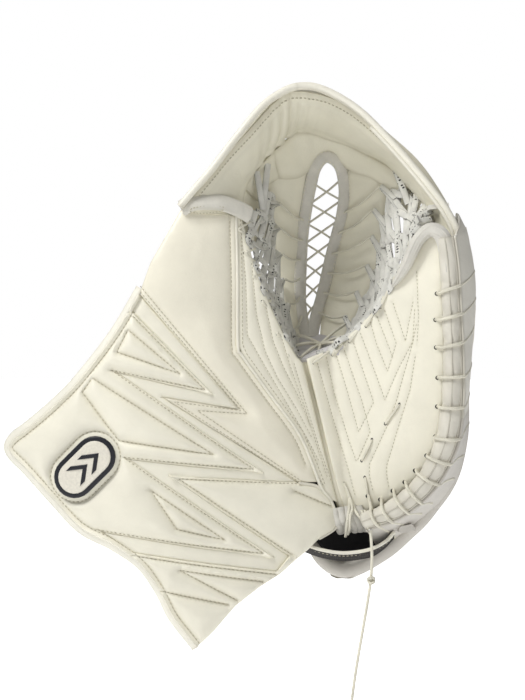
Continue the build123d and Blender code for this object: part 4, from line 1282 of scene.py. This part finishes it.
def guard_skin(steps):
    """Outer and inner points of the guard as one closed section at each height."""
    low, high = STATIONS[0, 0], STATIONS[-1, 0]
    sections = []
    for v in np.linspace(low, high, steps):
        first = guard_left(v)
        shares = first + (1 - first) * np.linspace(0, 1, 30) ** 0.8
        tuck = min(1.0, 0.35 + min(v - low, high - v) / 9.0)
        outer = [guard_point(v, s, 4.8 * (1 - tuck) - guard_puff(v, s)) for s in shares]
        inner = [guard_point(v, s, 12.0 - 2.4 * (1 - tuck)) for s in shares[::-1]]
        a, b = np.array(outer[-1]), np.array(inner[0])
        nose = [a * (1 - k) + b * k + np.array((0.6, 0, 3.4 * math.sin(math.pi * k)))
                for k in (0.2, 0.5, 0.8)]
        sections.append(outer + nose + inner)
    return np.array(sections)


def guard_puff(v, s):
    """Padded channels across the guard, pulled in at their seams."""
    ribs = min(abs(v - seam) for seam in GUARD_SEAMS)
    return 1.6 * (1 - math.exp(-ribs / 6.0)) * min(1.0, (1 - s) * 6 + 0.3)


skin = guard_skin(150)
guard = sleeve(Mesh(), skin)
n_cols = skin.shape[1]
INSIDE = 33  # first column of the guard's inner face
for i, (u, v, _) in enumerate(skin[:-1].reshape(-1, 3)):
    if INSIDE <= i % n_cols < n_cols - 1:
        guard.slots[i] = 1 if -14 < v < 120 and u < 40 + 0.5 * v else 2
piece(guard, "finger_guard_pad", [GUARD, LINING, PALE_LINING], "finger_half",
      ["finger_guard_cover", "finger_guard_foam", "finger_guard_board", "wrist_guard_cover",
       "wrist_guard_foam"])

# Piped seams along the guard's open edge and rows of stitches across its back
guard_trim = Mesh()
for depth, size in ((-0.4, 1.5), (6.0, 1.2)):
    line = np.array([guard_point(v, 1.0, depth) for v in np.linspace(-18, 278, 90)])
    line[:, 2] += 2.2 if depth > 0 else 0.6
    tube(guard_trim, smooth(line[::3], 2.0), size, 10)
for seam in GUARD_SEAMS:
    for shift in (-2.2, 2.2):
        shares = np.linspace(guard_left(seam) + 0.02, 0.9, 60)
        line = [guard_point(seam + shift, share, -0.45) for share in shares]
        sew(guard_trim, np.array(line), radius=0.45, slot=1)
piece(guard_trim, "guard_piping", [PIPING, THREAD_WITH_PAINTED_SHADE], "finger_half")

# Padded lip round the foot of the guard, in the darker guard leather as painted shade
LIP = [(-36, 4, -14), (-30, -8, -12), (-20.5, -18, -11), (-9.5, -22.5, -11), (3, -21, -10), (18, -15, -8),
       (35, -5, -5), (52, 7, -2), (69, 22, 1), (84, 38, 4), (95, 56, 8), (102, 78, 12), (106, 104, 15)]
lip = Mesh()
lip_line = smooth(LIP, 2.0)
lip_size = varied(lip_line, (0, 4.5), (0.12, 7.4), (0.3, 8.2), (0.75, 7.6), (1, 4.0))
tube(lip, lip_line, lip_size + 0.3 * np.sin(np.arange(len(lip_line)) / 3.1), 22, flat=1.15, facing=(0, 0, 1))
piece(lip, "guard_lip", [GUARD_PAINTED_SHADE], "finger_half")

# ---------------------------------------------------------------- back pad of the thumb stall

THUMB_BACK = [(-50, 34), (-52, 150), (-64, 176), (-82, 230), (-93, 295), (-118, 306), (-146, 262),
              (-168, 228), (-186, 196), (-150, 120), (-86, 56)]
BACK_PAD_W = -45.0  # how far behind the palm's leather the pad lies
BACK_ROWS = [[(-56, 60), (-96, 240), (-104, 296)], [(-70, 60), (-150, 220)]]
back_quilt = Quilt(THUMB_BACK, BACK_ROWS, puff=3.0, reach=9, sink=0.8, edge=3.0, crown=2.0)
back = panel(Mesh(), back_quilt, 9.0, step=3.4)
for points in back.points:  # the pad is made as a front face, then turned to look backward
    points[:, 2] = 2 * face_w(points[:, 0]) - points[:, 2] + BACK_PAD_W
back.faces = [f[::-1] for f in back.faces]
piece(back, "thumb_back_pad", [GUARD, LINING], "thumb_half", ["thumb_guard"])

THUMB_SIDE = [((-50, 172, -10), (-72, 178, -20)), ((-50, 196, 0), (-72, 200, -12)),
              ((-56, 222, 4), (-82, 232, -8)), ((-66, 263, 9), (-89, 264, -3)),
              ((-71, 296, 10), (-95, 291, -2))]
piece(wall(Mesh(), strip(THUMB_SIDE, across=12, puff=1.5), 2.0), "thumb_side_leather", [GUARD], "thumb",
      ["thumb_gusset"])

# Suede tape over the thumb's top, with a stitched oval buttonhole
tape = Mesh()
TAPE_LINE = [(-116, 314, 42), (-107, 317.5, 44), (-96, 317.5, 42), (-82, 315.5, 38), (-69, 310, 32),
             (-58, 303, 26)]
tube(tape, smooth(TAPE_LINE, 2.0), 8.2, 20, flat=0.5, facing=(0.1, 0.5, 1))
oval = np.linspace(0, 2 * math.pi, 40)
oval_u = 15 * np.cos(oval)
oval_line = np.column_stack((oval_u - 94, 310 + 3.2 * np.sin(oval) - 0.02 * oval_u, 46.0 - 0.28 * oval_u))
sew(tape, oval_line, radius=0.5, length=2.0, gap=0.9, slot=1)
piece(tape, "thumb_top_tape", [TAPE, THREAD_WITH_PAINTED_SHADE], "thumb", ["thumb_edge_tape"])

# ---------------------------------------------------------------- heel of the palm

heel = Mesh()
for k, (u0, u1) in enumerate(((-13, -9), (-7, -3), (-1, 4), (5, 9), (10, 14))):
    line = smooth([(u0, 35, 4 + abs(k - 2)), (u0 + 1, 27, 8), (u1, 19, 6), (u1 + 0.5, 12, -2)], 1.6)
    wobble = 3.6 + 0.5 * np.sin(np.arange(len(line)) * 0.9 + k)
    tube(heel, line, wobble, 14, flat=0.7, facing=(0, 0.3, 1))
piece(heel, "heel_gathers", [SUEDE], "finger", ["heel_lacing"])
heel_laces = Mesh()
for path in ([(2.2, 42, 0.4), (0.6, 35, 13.5), (-1.5, 28, 15.5), (-4, 17, 13), (-5.2, 9, 6)],
             [(2.2, 42, 0.4), (3.4, 35, 14), (0.6, 28, 16), (-1.0, 18, 13.5), (-3, 11, 8)],
             [(-1.2, 57, 0.4), (1.2, 50, 1.8), (3.4, 41, 1.8), (6.2, 31, 15.5), (10.5, 24, 19.5),
              (15.1, 18.5, 21)],
             [(19, 42, 0.4), (19.6, 36, 15), (21.5, 28, 19), (25.5, 22.5, 20), (30, 19, 16)]):
    line = [(u, v, w if v < 40 else float(palm.on([(u, v)])[0][2]) + w) for u, v, w in path]
    tube(heel_laces, smooth(line, 1.5), 1.3, 10)
for u in (15.1, 17.9):
    tube(heel_laces, smooth([(u - 4, 32, 17), (u - 2, 24, 21), (u, 15.5, TAIL_W)], 1.4), 1.25, 10)
piece(heel_laces, "heel_laces", [WAXED], "finger", ())

# ---------------------------------------------------------------- straps

STRAP_LINE = [(-46, 9), (-28, 0.5), (-8, -4.5), (14, -4), (29, 1.5), (38, 9)]
front_edge = [(u, v, 14.5) for u, v in STRAP_LINE]
back_edge = [(u, v - 9, 1.0) for u, v in STRAP_LINE]
strap_grid = strip(list(zip(front_edge, back_edge)), across=9, puff=0.4)
mesh = wall(Mesh(), turned(strap_grid), 2.4)
strap_line = smooth(front_edge, 1.5)
for shift in (2.0, 6.5):
    sew(mesh, strap_line + np.array((0, -shift * 0.47, -shift * 0.9 + 1.2)), slot=1, radius=0.4)
piece(mesh, "wrist_strap_webbing", [STRAP, THREAD_WITH_PAINTED_SHADE], "wrist_strap", ["wrist_strap"])
mesh = Mesh()
tube(mesh, smooth([(u, v + 0.6, 16.3) for u, v in STRAP_LINE], 1.5), 1.8, 12, flat=0.8, facing=(0, 1, 0.6))
piece(mesh, "wrist_strap_binding", [PIPING], "wrist_strap", ["strap_edge"])


def strap_row(v, u_low, u_high, count, lift):
    """Points across the outside of the guard, from one u to another."""
    return [guard_point(v, share, -lift) for share in shares_of(v, np.linspace(u_low, u_high, count))]


mesh = sleeve(Mesh(), np.array([strap_row(v, -18, 66, 40, 4.3) + strap_row(v, -18, 66, 40, 2.1)[::-1]
                                for v in np.linspace(72, 106, 22)]))
for v in (75, 103):
    sew(mesh, strap_row(v, -15, 63, 60, 4.6), slot=1, radius=0.45)
piece(mesh, "backhand_strap_webbing", [STRAP_PALE, THREAD_WITH_PAINTED_SHADE], "backhand_strap", ["backhand_strap"])

piece(holes, "punched_holes", [HOLE_PAINTED_SHADE], "finger", ())
piece(palm_laces, "palm_threaded_laces", [WAXED], "finger", ())
for side, mesh in crown_threads.items():
    piece(mesh, f"crown_stitching_{side}", [THREAD_WITH_PAINTED_SHADE], side)
for name, spots, side, radius in (("punched_holes_thumb", left_holes, "thumb", 1.3),
                                  ("punched_holes_net", right_holes, "finger", 1.4)):
    mesh = Mesh()
    for spot in spots:
        punch(mesh, spot + (0, 0, 0.1), radius)
    piece(mesh, name, [HOLE_PAINTED_SHADE], side, ())

# ---------------------------------------------------------------- CAD nodes that stay

# strap_anchor takes the darker guard leather, as painted shade
KEPT = {"finger_gusset": GUARD, "fingertip_cap": GUARD, "finger_dividers": LINING, "strap_anchor": GUARD_PAINTED_SHADE,
        "backhand_patch": HOOK, "strap_patch": HOOK}
for name, material in KEPT.items():
    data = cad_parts[name].data
    data.materials.clear()
    data.materials.append(material)

# ---------------------------------------------------------------- floor and light

FLOOR_Z, FLOOR_REACH = -0.235, 30.0
n = new_nodes("studio floor")
seen = n.node("LightPath").outputs["Is Camera Ray"]
n.finish({"Base Color": n.ramp(n.noise(3.0, 2.0), (0.2, (0.93, 0.93, 0.93, 1)), (0.8, (0.96, 0.96, 0.96, 1))),
          "Roughness": 0.9, "Emission Color": WHITE,
          "Emission Strength": n.math("MULTIPLY_ADD", seen, 0.5, 0.55)})
floor_data = bpy.data.meshes.new("studio_floor")
ends = (-FLOOR_REACH, FLOOR_REACH)
floor_data.from_pydata([(x, y, FLOOR_Z) for x in ends for y in ends], [], [(0, 2, 3, 1)])
floor_data.materials.append(n.owner)
floor = new_object("studio_floor", floor_data)
floor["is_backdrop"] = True

world = bpy.data.worlds.new("studio")
bpy.context.scene.world = world
sky = Nodes(world, "Background")  # pale where the camera looks, dim as a light
looked_at = sky.node("LightPath").outputs["Is Camera Ray"]
sky.finish({"Color": WHITE, "Strength": sky.math("MULTIPLY_ADD", looked_at, 0.8, 0.2)})
bpy.context.scene.view_settings.view_transform = "Standard"


LOOK_AT = Vector((-0.08, 0.0, 0.17))  # the middle of the glove


def softbox(name, place, size, power):
    """Square soft light that looks at the middle of the glove."""
    data = bpy.data.lights.new(name, "AREA")
    data.size, data.energy = size, power
    obj = new_object(name, data)
    obj.location = place
    obj.rotation_euler = (LOOK_AT - Vector(place)).to_track_quat("-Z", "Y").to_euler()


softbox("key", (-0.8, -0.7, 1.3), 0.55, 17.5)
softbox("fill", (0.9, -1.6, 0.3), 1.4, 2.0)
softbox("rim", (0.4, 0.9, 1.4), 1.0, 4)

low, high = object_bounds()
